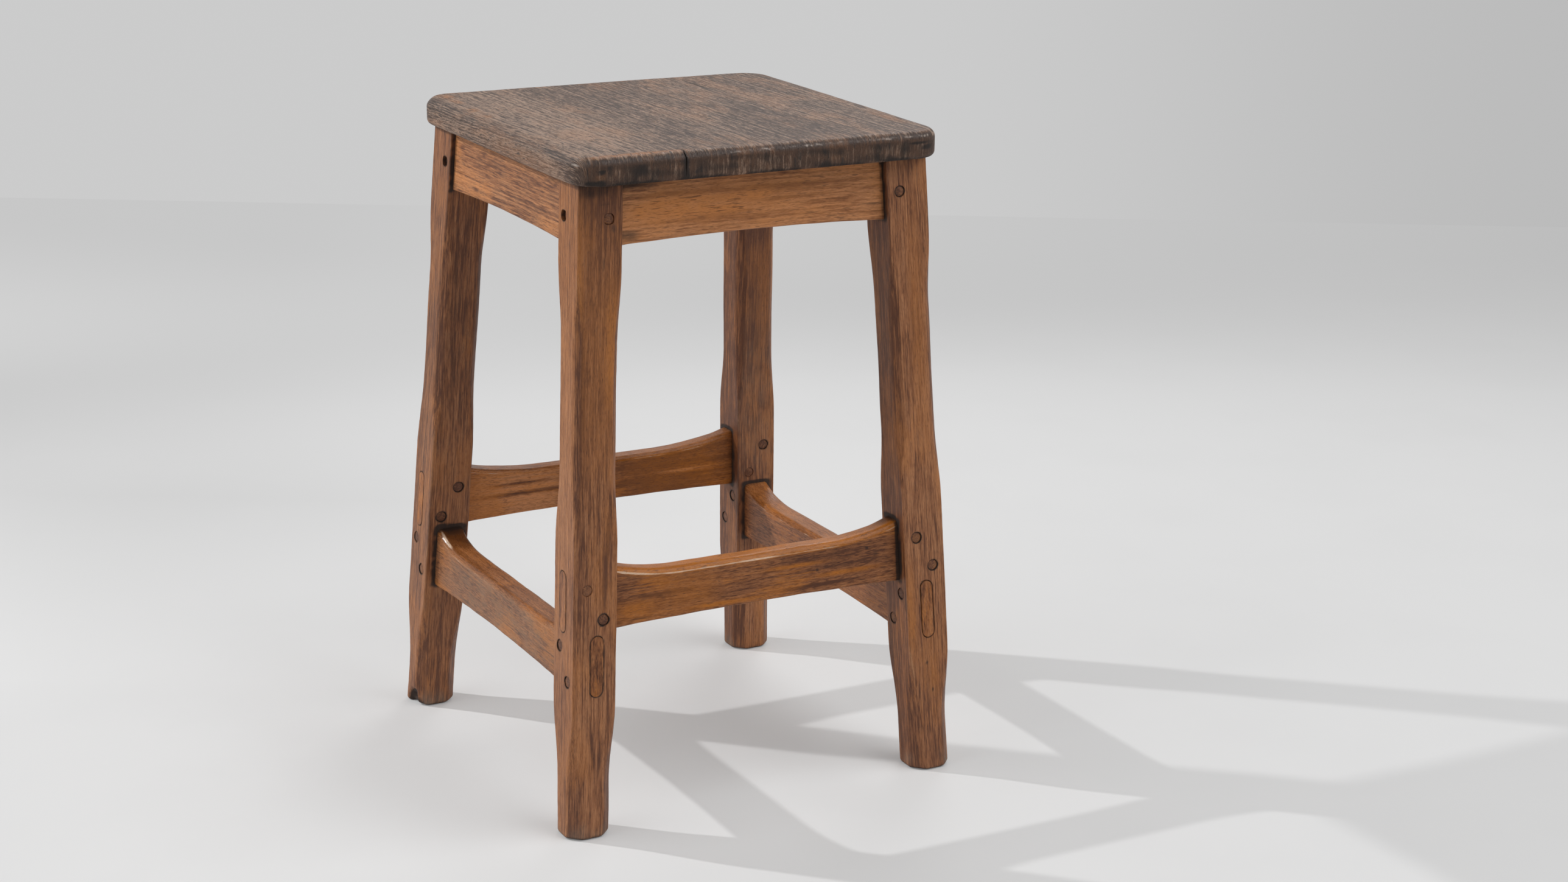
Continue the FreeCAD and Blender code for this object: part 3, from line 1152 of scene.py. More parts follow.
    def corner_share(self, points: Array) -> Array:
        """How near points of a leg are to the corner that the rail's end makes with it.

        Args:
            points: Where, in the stool's axes.

        Returns:
            1 in the corner, falling off in a bell curve on the face that the rail meets.
        """
        x, y, z = self.side.local(points).T
        across = y + self.side.half_out(z) - self.inset
        low, high = self.edges(np.ones(1))
        beside = np.maximum(np.maximum(-across, across - self.thickness), 0)
        beyond = np.maximum(np.maximum(low - z, z - high), 0)
        on_face = smooth(np.abs(np.abs(x) - self.side.shoulder(z)), 0.003, 0.0015)
        return bell(np.hypot(beside, 1.6 * beyond), 0.0050) * on_face

    def coat(self, points: Array) -> Coat:
        """The rail's paint: its own worn spots, painted highlights, end grain at its ends, dirt and painted
        shade in the recesses at the shoulders, strokes.

        Args:
            points: Where, in the stool's axes.

        Returns:
            The coat.
        """
        x, y, z = self.side.local(points).T
        across = y + self.side.half_out(z) - self.inset
        along = x / self.side.shoulder(z)
        low, high = self.edges(np.clip(along, -1, 1))
        head, foot = high - z, z - low
        coat = Coat.bare(Board(0, self.seed).wood(np.stack([x, across, z], -1)))
        coat.tone += self.tone + 0.05 * Ripple(self.seed + 5, 0.2, 0.05, (2.0, 1.0, 1.0))(points)
        body = np.abs(along) <= 1.001
        outer = np.minimum(across, self.thickness - across)
        patchy = 0.6 + 0.5 * Ripple(self.seed + 6, 0.07, 0.01, (2.5, 1.0, 1.0))(points)
        self.rub(coat, Lie(body, head, foot, outer, patchy))
        ends = np.abs(x) > self.side.half_run(z) - END_FACE
        coat.wood[ends] = np.stack([across, x, z + 5.0], -1)[ends]
        coat.tone += 0.03 * ends
        near = bell(self.rim_distance(points), 0.0008)
        coat.grime += 0.6 * near * ends * (0.75 + 0.35 * Ripple(self.seed + 7, 0.02, 0.004)(points))
        # Darker towards the shoulders: painted shade in the recess beside the leg, with some dirt.
        recess = smooth(np.abs(along), 0.965, 0.995) * body
        coat.grime += 0.6 * recess * (0.5 + 0.5 * patchy)
        brush(coat, self.strokes, {
            Turn.FRONT: (x, z, smooth(across, *FACE_EDGE) * body),
            Turn.BACK: (x, z, smooth(self.thickness - across, *FACE_EDGE) * body),
            Turn.RIGHT: (x, across, smooth(head, 0.0060, 0.0015) * body),
            Turn.LEFT: (x, across, smooth(foot, 0.0024, 0.0008) * body),
        })
        return coat

    def rub(self, coat: Coat, at: Lie) -> None:
        """Adds the rail's own worn spots and dirt, painted highlights and painted shade to its coat."""
        raise NotImplementedError

    def build(self, timber: Timber) -> None:
        """Makes the rail, carves its holes and dresses it.

        Args:
            timber: Its finish.
        """
        bores = [self.peg_cutter(k, hole, RAIL_ROOM) for k, (*_, hole) in enumerate(self.holes())]
        piece = carved(self.node() + "_dressed", self.shell(), bores + self.dowel_holes())
        finished(piece, self.coat, timber, self.node())


def peg_shell(
    hole: PegHole, side: Side, start: float, stop: float, grow: float, seed: int, rows: int = 2,
    ends: bool = False,
) -> Shell:
    """A rod along the side's Y axis, or the hole for it.

    Its section is a circle pushed towards a square: the radius is divided by the norm of
    the direction to the power that the hole gives, and wavers a little with the seed.

    Args:
        hole: The peg's place and form.
        side: The side it belongs to.
        start: Where it starts, as a distance behind the side's outer plane.
        stop: Where it ends.
        grow: How much larger than the peg.
        seed: For the waver.
        rows: Rings along it.
        ends: Whether its ends have rings of their own and are a little rough.

    Returns:
        The rod's surface in the stool's axes.
    """
    way = circle(40)
    norm = (np.abs(way) ** hole.square).sum(-1) ** (1 / hole.square)
    waver = Ripple(seed, 2.2, 0.7)(level_points(way))
    radius = (hole.radius + grow) * (1 + 0.02 * waver) / norm
    share = np.linspace(0, 1, rows)[:, None]
    x = hole.x + radius * way[:, 0]
    z = hole.z + radius * way[:, 1]
    y = start + (stop - start) * share - side.half_out(z)
    rings = np.stack([x + 0 * y, y, z + 0 * y], -1)[:, ::-1]
    shell = capped(rings) if ends else tube(rings)
    if ends:
        x, y, z = shell.points.T
        middle = (start + stop) / 2 - side.half_out(z)
        rough = 0.00018 * (1 + Ripple(seed + 3, 0.006, 0.0025)(shell.points))
        domed = 0.0006 * (np.hypot(x - hole.x, z - hole.z) / hole.radius) ** 4
        at_end = smooth(np.abs(y - middle), (stop - start) / 2 - 0.001, (stop - start) / 2)
        shell.points[:, 1] -= np.sign(y - middle) * (rough + domed) * at_end
    return side.placed(shell)


@dataclass
class Stretcher(Rail):
    """A low rail with a scooped, rounded top, a slightly arched foot and two pegs a joint."""

    scoop: float = 0.0105
    arch: float = 0.0025
    flat: float = 0.6
    power: float = 2.2
    top_round: float = 0.006
    peg_step: float = 0.008
    peg_rise: float = 0.014
    peg_radius: float = 0.005
    peg_recess: float = 0.0004
    tenon_height: float = 0.054
    tenon_thickness: float = 0.012
    gold: float = 1.0

    def tenon(self) -> Tenon:
        """A through tenon in the middle of the end.

        Returns:
            The tenon.
        """
        base = self.base + (self.height - self.tenon_height) / 2
        inset = self.inset + (self.thickness - self.tenon_thickness) / 2
        return Tenon(base, self.tenon_height, inset, self.tenon_thickness, True)

    def edges(self, x: Array) -> Tuple[Array, Array]:
        """A low arch below, and a dip above that sweeps up to the legs by a power curve.

        Args:
            x: Places from -1 to 1 along the rail.

        Returns:
            Heights of the lower and upper edge.
        """
        rise = np.clip((np.abs(x) - self.flat) / (1 - self.flat), 0, 1) ** self.power
        top = self.base + self.height - self.scoop * (1 - rise)
        return self.base + self.arch * (1 - x ** 2), top

    def radii(self, x: Array) -> Array:
        """Small below, larger above, a little less at the shoulders.

        Args:
            x: Places from -1 to 1 along the rail.

        Returns:
            The four radii at each place.
        """
        top = self.top_round * (0.72 + 0.28 * smooth(np.abs(x), 1.0, 0.85))
        foot = np.full_like(x, 0.002)
        return np.stack([foot, foot, top * 0.95, top], -1)

    def holes(self) -> List[Tuple[int, int, PegHole]]:
        """Two pegs right through each joint, the upper one to the left.

        Returns:
            The end, the level 1 or -1 and the hole of each.
        """
        found = []
        middle = self.tenon().middle
        for end in (-1, 1):
            for level in (1, -1):
                z = middle + level * self.peg_rise
                x = end * (self.side.half_run(z) - self.side.leg_run / 2) - level * self.peg_step
                faint = self.faintness(end, level)
                recess = self.peg_recess * (1 - 0.75 * faint)
                hole = PegHole(x, z, self.peg_radius, self.side.leg_out, recess, faint=faint)
                found.append((end, level, hole))
        return found

    def rub(self, coat: Coat, at: Lie) -> None:
        """Adds a polished golden top, a painted highlight line along the upper arris and a dark lower one.

        Args:
            coat: What they are added to.
            at: How its points lie.
        """
        top = smooth(at.head, 0.0068, 0.0044) * at.body
        coat.amber += top * (0.6 + 0.4 * at.patchy) * self.gold
        coat.tone += (0.04 * self.gold - 0.03) * top
        coat.shine += 0.55 * top
        # A pale line just under the upper arris: a painted highlight.
        line = bell(at.head - 0.0046, 0.0010) * smooth(at.outer, 0.003, 0.001) * at.body
        coat.wear += (0.40 + 0.68 * self.gold) * line * np.clip(at.patchy, 0.3, 1.2)
        coat.shine += 0.4 * line
        coat.grime += 0.5 * bell(at.foot, 0.0022) * bell(at.outer, 0.003) * at.body * at.patchy


@dataclass
class Apron(Rail):
    """A board under the seat with blind, mitred tenons and one blind peg a joint."""

    arch: float = 0.003
    peg_recess: float = 0.0004
    peg_radius: float = 0.0045
    peg_depth: float = 0.024
    peg_square: float = 3.2
    peg_run: float = 0.029
    shoulder_below: float = 0.007
    shoulder_above: float = 0.012
    shoulder_front: float = 0.005
    tenon_thickness: float = 0.010
    dowel_radius: float = 0.0041
    dowel_reach: Tuple[float, float] = (-0.0226, 0.0146)
    dowel_share: float = 0.55
    rows: int = 150
    end_rows: int = 8
    wave_length: float = 0.08
    wave: float = 0.00018
    fine_wave: float = 0.0
    sink: float = 0.00018
    fade_from: float = 0.92
    level_top: bool = True

    def tenon(self) -> Tenon:
        """A blind tenon with a shoulder above and below.

        Returns:
            The tenon.
        """
        height = self.height - self.shoulder_below - self.shoulder_above
        inset = self.inset + self.shoulder_front
        return Tenon(self.base + self.shoulder_below, height, inset, self.tenon_thickness, False)

    def edges(self, x: Array) -> Tuple[Array, Array]:
        """A level top and a low arch below."""
        return self.base + self.arch * (1 - x ** 2), np.full_like(x, self.base + self.height)

    def radii(self, x: Array) -> Array:
        """Eased below, sharp under the seat."""
        foot, head = np.full_like(x, 0.002), np.full_like(x, 0.0006)
        return np.stack([foot, foot, head, head], -1)

    def holes(self) -> List[Tuple[int, int, PegHole]]:
        """One blind peg in each joint.

        Returns:
            The end, a level of 0 and the hole of each.
        """
        z = self.tenon().middle
        x = self.side.half_run(z) - self.peg_run
        form = (self.peg_radius, self.peg_depth, self.peg_recess, self.peg_square)
        return [(end, 0, PegHole(end * x, z, *form, self.faintness(end, 0))) for end in (-1, 1)]

    def rub(self, coat: Coat, at: Lie) -> None:
        """Adds painted shade under the seat, a worn lower arris and a little amber all over.

        Args:
            coat: What they are added to.
            at: How its points lie.
        """
        # Darker towards the top: painted shade under the seat's overhang.
        coat.grime += 0.5 * smooth(at.head, 0.012, 0.0) * at.patchy * at.body
        coat.wear += 0.3 * bell(at.foot, 0.0018) * bell(at.outer, 0.0018) * at.patchy * at.body
        coat.amber += 0.25 * at.patchy * at.body

    def dowels(self) -> List[Tuple[float, float]]:
        """Where the dowels into the seat stand.

        Returns:
            Their places in the side's X and Y.
        """
        top = STOOL.height
        x = self.dowel_share * self.side.shoulder(top)
        y = self.inset + self.thickness / 2 - self.side.half_out(top)
        return [(end * x, y) for end in (-1, 1)]

    def dowel_holes(self) -> List[Shell]:
        """Upright holes through the apron's top edge and into the seat.

        Returns:
            Their surfaces in the stool's axes.
        """
        heights = (STOOL.height + np.array(self.dowel_reach))[:, None, None] * np.array([0, 0, 1])
        found = []
        for place in self.dowels():
            ring = level_points(np.array(place) + self.dowel_radius * circle(24))
            found.append(self.side.placed(tube(ring + heights)))
        return found


# Legs


@dataclass
class Leg:
    """A splayed leg, square at the joints, with stopped chamfers between them."""

    sign_x: int
    sign_y: int
    seed: int
    tones: Tuple[float, float, float, float] = (0.0, 0.0, 0.0, 0.0)
    strokes: Sequence[Stroke] = ()
    dents: Sequence[Dent] = ()
    section: Section = Section(24, 24, 14)
    rows: int = 340
    foot_round: float = 0.004
    foot_rows: int = 9
    soft_edge: float = 0.0032
    sink: float = 0.00028
    wave: float = 0.00020
    fine_wave: float = 0.00006
    stop_waver: float = 0.004
    chamfer_foot: float = 0.0105
    chamfer_middle: float = 0.0066
    chamfer_joint: float = 0.0009
    stops: Tuple[Tuple[float, float], ...] = ((0.044, 0.120), (0.262, 0.328), (0.440, 0.506))

    def node(self) -> str:
        """Name of the solid that the leg stands for."""
        row, column = "front" if self.sign_y < 0 else "back", "left" if self.sign_x < 0 else "right"
        return "%s_%s_leg" % (row, column)

    def chamfers(self, z: Array) -> Array:
        """Size of the chamfers, from S curves between the stops, which differ a little by hand.

        Args:
            z: Heights.

        Returns:
            Sizes at each height for the four arrises.
        """
        draw = np.random.default_rng(self.seed + 11)
        sizes = (self.chamfer_foot, self.chamfer_joint, self.chamfer_middle, self.chamfer_joint)
        found = []
        for _ in range(4):
            shift = draw.uniform(-self.stop_waver, self.stop_waver, 3)
            size = np.full(len(z), sizes[0])
            for k, (low, high) in enumerate(self.stops):
                size = size + (sizes[k + 1] - sizes[k]) * smooth(z, low + shift[k], high + shift[k])
            found.append(size * (1 + 0.05 * np.sin(z * 60 + draw.uniform(0, 6))))
        return np.stack(found, -1)

    def middle(self, z: Array) -> Tuple[Array, Array]:
        """The leg's axis at heights."""
        x = self.sign_x * (STOOL.half_x(z) - STOOL.leg_x / 2)
        return x, self.sign_y * (STOOL.half_y(z) - STOOL.leg_y / 2)

    def shell(self) -> Shell:
        """The leg before its joints are cut: sections along the splay, rounded in at the foot.

        Returns:
            Its surface.
        """
        turn = np.linspace(0, math.pi / 2, self.foot_rows)
        body = np.linspace(self.foot_round, STOOL.height, self.rows)[1:]
        z = np.concatenate([self.foot_round * (1 - np.cos(turn)), body])
        inset = np.concatenate([self.foot_round * (1 - np.sin(turn)), 0 * body])[:, None]
        centre = np.stack(self.middle(z), -1)
        half = np.array([STOOL.leg_x, STOOL.leg_y]) / 2
        chamfers = self.chamfers(z)
        corners = self.section.cut_corners(chamfers, np.minimum(self.soft_edge, 0.5 * chamfers))
        pairs = self.section.rings(centre - half + inset, centre + half - inset, corners)
        rings = raised(pairs, z)
        normals = level_points(self.section.normals())
        wave = self.wave * Ripple(self.seed, 0.16, 0.02, (1.0, 1.0, 2.0))(rings)
        wave += self.fine_wave * Ripple(self.seed + 1, 0.014, 0.005, (1.0, 1.0, 1.6))(rings)
        rings = rings - (self.sink + np.maximum(wave, 0.00002 - self.sink))[..., None] * normals
        for dent in self.dents:
            rings = dent.apply(rings)
        return capped(rings)

    def coat(self, points: Array, rims: Array, corners: Array) -> Coat:
        """The leg's paint.

        Args:
            points: Where.
            rims: Each point's distance to the nearest rim of a joint.
            corners: How deep it is in the corner beside a rail, from 0 to 1.

        Returns:
            The coat.
        """
        z = points[:, 2]
        axis_x, axis_y = self.middle(z)
        x, y = points[:, 0] - axis_x, points[:, 1] - axis_y
        half_x, half_y = STOOL.leg_x / 2, STOOL.leg_y / 2
        flat_x, flat_y = half_x - np.abs(x), half_y - np.abs(y)
        corner = np.where(y < 0, np.where(x < 0, 0, 1), np.where(x < 0, 3, 2))
        chamfer = np.take_along_axis(self.chamfers(z), corner[:, None], 1)[:, 0]
        cut = flat_x + flat_y - chamfer
        near = np.minimum(flat_x, flat_y)
        depth = np.minimum(near, cut * math.sqrt(0.5))
        arris = np.hypot(cut, near * 1.4)
        facet = smooth(near, 0.0008, 0.0016) * smooth(cut, 0.0026, 0.0012)

        coat = Coat.bare(Board(2, self.seed).wood(np.stack([x, y, z], -1)))
        coat.tone += 0.05 * Ripple(self.seed + 5, 0.3, 0.06, (1.0, 1.0, 2.5))(points)
        # Chamfer facets darker: painted shade, as they turn away from the key light.
        coat.tone -= 0.13 * facet
        patchy = 0.55 + 0.55 * Ripple(self.seed + 6, 0.08, 0.012, (1.0, 1.0, 2.5))(points)
        # Light lines along the arrises: worn edges and painted highlight.
        coat.wear += 0.5 * bell(arris, 0.0020) * np.maximum(patchy, 0)
        inwards = (half_y + y, half_x - x, half_y - y, half_x + x)
        faces = {}
        # Whole faces lighter or darker: partly the wood's own tone and partly painted light and shade of
        # how each face is lit.
        for turn, deep, tone in zip(Turn, inwards, self.tones):
            share = smooth(deep, 0.0022, 0.0010)
            coat.tone += tone * share
            faces[turn] = (x if turn.lengthwise else y, z, share)
        coat.dust += 0.6 * smooth(z, 0.032, 0.0) * np.maximum(patchy, 0.1)
        coat.grime += 0.55 * bell(z, 0.004)
        # Darker deeper inside the leg's outline: painted shade in the mortises, peg holes and the chip.
        coat.grime += 0.9 * smooth(depth, 0.0009, 0.003)
        speck = np.clip(0.9 + 0.5 * Ripple(self.seed + 7, 0.02, 0.004)(points), 0.45, 1.3)
        coat.grime += 0.85 * bell(rims, 0.0009) * speck
        coat.grime += 0.22 * bell(rims, 0.004) * np.maximum(patchy, 0)
        # Dark in the corners beside the rails: painted shade with some dirt.
        uneven = np.clip(0.85 + 0.4 * Ripple(self.seed + 8, 0.04, 0.006)(points), 0.5, 1.2)
        coat.grime += 1.05 * corners * uneven
        # Darker towards the top: painted shade under the seat, with some dirt.
        coat.grime += 0.4 * smooth(z, STOOL.height - 0.02, STOOL.height) * np.maximum(patchy, 0.2)
        coat.grime += 0.35 * smooth(z, STOOL.height - 0.006, STOOL.height)
        for dent in self.dents:
            coat.grime += dent.dirt * dent.share(points)
        brush(coat, self.strokes, faces)
        return coat

    def build(self, timber: Timber, rails: Sequence[Rail]) -> None:
        """Makes the leg, cuts its joints and dresses it.

        Args:
            timber: Its finish.
            rails: The stool's rails. It is cut for those that it holds.
        """
        mine = [(rail, end) for rail in rails for end in (-1, 1) if self.holds(rail, end)]
        cutters = [rail.mortise(end) for rail, end in mine]
        for rail, end in mine:
            for k, (at, _, hole) in enumerate(rail.holes()):
                if at == end:
                    cutters.append(rail.peg_cutter(k, hole, LEG_ROOM - LEG_ROOM_FAINT * hole.faint))
        piece = carved(self.node() + "_dressed", self.shell(), cutters)

        def paint(points: Array) -> Coat:
            """The coat with the rims of this leg's joints."""
            rims = np.min([rail.rim_distance(points) for rail, _ in mine], 0)
            corners = np.max([rail.corner_share(points) for rail, _ in mine], 0)
            return self.coat(points, rims, corners)

        finished(piece, paint, timber, self.node())

    def holds(self, rail: Rail, end: int) -> bool:
        """Whether a rail's end is in this leg."""
        x, y, _ = rail.side.world(np.array([[end * 0.1, -0.1, 0.0]]))[0]
        return x * self.sign_x > 0 and y * self.sign_y > 0


# Seat


@dataclass(frozen=True)
class Crack:
    """A drying crack: a thin wedge cut into the seat from an edge, along the grain."""

    x: float
    edge: float
    length: float
    width: float
    drop: float
    seed: int
    inside: bool = False

    def shell(self, top: float) -> Shell:
        """The wedge.

        Along its length, t from 0 at the edge to 1, the width goes as s ** 0.7 and the depth
        as s ** 0.5, where s is 1 - t, or 4 t (1 - t) for a slit that lies inside the top.
        The middle wanders by a ripple.

        Args:
            top: Height of the surface that it opens in.

        Returns:
            The wedge's surface.
        """
        t = np.linspace(0.0 if self.inside else -0.2, 1, 36)
        inner = 4 * t * (1 - t) if self.inside else np.clip(1 - t, 0.0, 1.0)
        sign = -math.copysign(1, self.edge)
        y = self.edge + sign * self.length * t
        where = np.stack([0 * t, y, 0 * t], -1)
        middle = self.x + 0.0010 * Ripple(self.seed, 0.02, 0.004)(where) + 0.03 * self.length * t
        half = self.width / 2 * inner ** 0.7 + 0.00002
        low = top - self.drop * inner ** 0.5 - 0.0001
        high = np.full_like(t, top + 0.004)
        halfway = (high + low) / 2
        ring = [(-1, high), (-0.9, halfway), (-0.25, low), (0.25, low), (0.9, halfway), (1, high)]
        rings = np.stack([np.stack([middle + side * half, y, z], -1) for side, z in ring], 1)
        return tube(rings[::-1] if sign > 0 else rings)


@dataclass
class Seat:
    """The slab: flat, with round corners, a round top edge and a softer, more worn edge at the left."""

    width: float = 0.358
    depth: float = 0.352
    thickness: float = 0.025
    corner_radius: float = 0.028
    top_round: float = 0.008
    foot_round: float = 0.005
    seed: int = 71
    section: Section = Section(130, 82, 22)
    strokes: Sequence[Stroke] = ()
    dents: Sequence[Dent] = ()
    cracks: Sequence[Crack] = ()

    def shell(self) -> Shell:
        """The slab before it is bored and cracked.

        Rings of its outline go from the middle of the underside out, up the edge and in over
        the top. The edge's profile is a quarter circle, a line and a quarter circle, as
        insets from the outline. Inside them the rings shrink towards the middle.

        Returns:
            Its surface.
        """
        low_turn = np.linspace(0, math.pi / 2, 9)
        high_turn = np.linspace(0, math.pi / 2, 15)
        bottom, top = STOOL.height, STOOL.height + self.thickness
        inset = [self.foot_round * (1 - np.sin(low_turn)), np.zeros(6)]
        inset.append(self.top_round * (1 - np.cos(high_turn)))
        z = [bottom + self.foot_round * (1 - np.cos(low_turn))]
        z.append(np.linspace(bottom + self.foot_round, top - self.top_round, 8)[1:-1])
        z.append(top - self.top_round * (1 - np.sin(high_turn)))
        inset, z = np.concatenate(inset)[:, None], np.concatenate(z)
        half = np.array([self.width, self.depth]) / 2
        radii = self.corner_radius - inset * np.ones(4)
        corners = self.section.round_corners(radii)
        pairs = self.section.rings(-half + inset, half - inset, corners)
        edge = raised(pairs, z)
        shrink = (np.linspace(0.02, 0.985, 34)[:, None, None], np.linspace(0.995, 0.005, 96)[:, None, None])
        level = np.array([1, 1, 0])
        under = edge[:1] * level * shrink[0] + [0, 0, bottom]
        over = edge[-1:] * level * shrink[1] + [0, 0, top]
        return tube(self.worn(np.concatenate([under, edge, over]), top))

    def worn(self, rings: Array, top: float) -> Array:
        """Presses waves, dents and a heavier round into the slab, always inwards.

        The top sinks by a ripple of a few tenths of a millimetre, and the points near the
        outline move towards the middle by another.

        Args:
            rings: Ring by point by coordinate.
            top: Height of the slab's top.

        Returns:
            The moved rings.
        """
        x, y, z = rings[..., 0], rings[..., 1], rings[..., 2]
        upper = smooth(z, top - 0.012, top)
        side = smooth(self.edge_distance(rings), 0.012, 0.0)
        wave = np.maximum(0.5 + 0.5 * Ripple(self.seed, 0.22, 0.04, (1.0, 1.6, 1.0))(rings), 0)
        fine = np.maximum(0.5 + 0.5 * Ripple(self.seed + 1, 0.03, 0.006, (0.6, 2.2, 1.0))(rings), 0)
        sink = 0.00045 * wave + 0.00012 * fine
        left = smooth(x, -self.width / 2 + 0.022, -self.width / 2)
        front = smooth(y, -self.depth / 2 + 0.010, -self.depth / 2)
        sink = sink + 0.0016 * left ** 2 + 0.0003 * front * wave
        out = rings[..., :2] / np.linalg.norm(rings[..., :2], axis=-1, keepdims=True)
        wander = 0.00055 * (0.5 + 0.5 * Ripple(self.seed + 2, 0.12, 0.02)(rings)) * side
        rings = rings - np.concatenate([wander[..., None] * out, (sink * upper)[..., None]], -1)
        for dent in self.dents:
            rings = dent.apply(rings)
        return rings

    def edge_distance(self, points: Array) -> Array:
        """Distance inwards from the slab's outline.

        Args:
            points: Where.

        Returns:
            The distances, below 0 outside the outline.
        """
        x, y = np.abs(points[..., 0]), np.abs(points[..., 1])
        in_x = self.width / 2 - self.corner_radius - x
        in_y = self.depth / 2 - self.corner_radius - y
        outside = np.hypot(np.minimum(in_x, 0), np.minimum(in_y, 0))
        return self.corner_radius - outside + np.maximum(np.minimum(in_x, in_y), 0)

    def coat(self, points: Array) -> Coat:
        """The slab's paint.

        The wood's place is laid so that the grain runs from front to back on the top and turns
        into upright lines on the front's end grain.

        Args:
            points: Where.

        Returns:
            The coat.
        """
        x, y, z = points.T
        top = STOOL.height + self.thickness
        flank = smooth(self.width / 2 - np.abs(x), 0.014, 0.004)
        end = smooth(self.depth / 2 - np.abs(y), 0.012, 0.004)
        deep = self.thickness + (z - top) * (1 - 0.7 * end)
        wood = np.stack([x + 0.02 * y + 1.4 * (z - top) * flank, deep, y + 3.0], -1)
        coat = Coat.bare(wood)
        coat.tone += 0.06 * Ripple(self.seed + 5, 0.25, 0.05, (0.6, 2.0, 1.0))(points)
        rim = self.edge_distance(points)
        patchy = np.maximum(0.5 + 0.6 * Ripple(self.seed + 6, 0.06, 0.008)(points), 0)
        over = smooth(z, top - 0.003, top - 0.0008)
        band = smooth(rim, 0.016, 0.004) * over
        coat.amber += 0.45 * band * patchy * (0.5 + 0.5 * Ripple(self.seed + 8, 0.12, 0.03)(points))
        front = smooth(y, 0.012 - self.depth / 2, 0.003 - self.depth / 2)
        # Broken pale glints along the front top arris: painted highlights, over faint worn spots all round
        # the arris.
        line = bell(z - top + 0.0040, 0.0017) * smooth(rim, 0.006, 0.003)
        chips = np.clip(0.50 + 0.6 * Ripple(self.seed + 10, 0.009, 0.003)(points), 0, 1)
        coat.wear += (0.62 * front * (0.35 + 0.65 * smooth(x, -0.08, 0.0)) * chips + 0.15 * patchy) * line
        coat.shine += 0.6 * smooth(rim, 0.010, 0.004) * smooth(z, top - 0.010, top - 0.004)
        below = smooth(z, top - 0.004, top - 0.009)
        end_grain = smooth(self.depth / 2 - np.abs(y), 0.012, 0.003) * below
        end_grain = end_grain * smooth(rim, 0.010, 0.002)
        blocks = Ripple(self.seed + 11, 0.05, 0.006, (1.0, 1.0, 8.0))(points)
        coat.tone -= (0.20 + 0.16 * blocks) * end_grain
        # Darker just under the front top arris: painted shade over the light that the round catches.
        under_arris = smooth(z, top - 0.0010, top - 0.0030) * smooth(z, top - 0.012, top - 0.006)
        coat.tone -= 0.42 * front * under_arris
        coat.grime += (0.30 + 0.32 * patchy) * end_grain
        coat.amber += 0.15 * end_grain
        coat.dust += 0.12 * over * (0.6 + 0.5 * Ripple(self.seed + 9, 0.2, 0.05)(points))
        coat.grime += 0.5 * smooth(z, STOOL.height + 0.004, STOOL.height + 0.001) * patchy
        for crack in self.cracks:
            near = np.hypot(x - crack.x, np.maximum(np.abs(y - crack.edge) - crack.length, 0))
            low = top - crack.drop
            coat.grime += 0.8 * bell(near, 1.4 * crack.width) * smooth(z, low - 0.004, low)
        brush(coat, self.strokes, {
            Turn.FRONT: (x, z, smooth(self.depth / 2 + y, 0.010, 0.004) * below),
            Turn.LEFT: (y, z, smooth(self.width / 2 + x, 0.010, 0.004) * below),
            Turn.BACK: (x, y, over),
        })
        return coat

    def build(self, timber: Timber, rails: Sequence[Rail]) -> None:
        """Makes the seat, bores and cracks it and dresses it.

        Args:
            timber: Its finish.
            rails: The stool's rails, whose dowels it is bored for.
        """
        cutters = [hole for rail in rails for hole in rail.dowel_holes()]
        cutters += [crack.shell(STOOL.height + self.thickness) for crack in self.cracks]
        piece = carved("seat_dressed", self.shell(), cutters)
        finished(piece, self.coat, timber, "seat")


# Pegs


@dataclass
class Pegs:
    """The whittled pegs of every joint, and the dowels in the seat."""

    timber: Timber

    def build(self, rail: Rail) -> None:
        """Makes the pegs of one rail. One that runs through is sunk at both ends.

        Args:
            rail: The rail.
        """
        for k, (end, level, hole) in enumerate(rail.holes()):
            node = "%s_peg_%s" % (rail.node(), rail.side.end_word(end))
            if level:
                node += "_upper" if level > 0 else "_lower"
            stop = hole.depth - (hole.recess if level else 0.0)
            shell = peg_shell(hole, rail.side, hole.recess, stop, 0.0, rail.seed + k, rows=10, ends=True)
            piece = raw_object(node + "_dressed", shell)
            finished(piece, self.painter(rail, hole, rail.seed + k), self.timber, node)

    def stain_dowels(self, side: Side) -> None:
        """Gives the solid dowels above one apron the pegs' finish.

        Args:
            side: The apron's side.
        """
        for end in (-1, 1):
            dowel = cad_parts["%s_seat_dowel_%s" % (side.name, side.end_word(end))]
            dowel.data.materials.clear()
            dowel.data.materials.append(self.timber.material)

    def painter(self, rail: Rail, hole: PegHole, seed: int) -> Paint:
        """The paint of one peg: dark towards its rim and lighter in its middle.

        Args:
            rail: The rail that it holds.
            hole: Its place and form.
            seed: For its shade and its piece of wood.

        Returns:
            The function that paints it.
        """
        draw = np.random.default_rng(seed + 90)
        shade, ring = draw.uniform((-0.26, 0.5), (-0.02, 1.0)) * (1 - hole.faint)

        def paint(points: Array) -> Coat:
            """The coat of the peg's points."""
            x, y, z = rail.side.local(points).T
            away = np.hypot(x - hole.x, z - hole.z) / hole.radius
            wood = Board(2, seed, 0.0).wood(np.stack([x - hole.x, z - hole.z, y], -1))
            coat = Coat.bare(wood)
            coat.tone += shade
            coat.grime += 0.9 * ring * smooth(away, 0.80, 1.0)
            return coat

        return paint


# Studio


def grey(level: float) -> Rgb:
    """A colour without hue."""
    return (level,) * 3


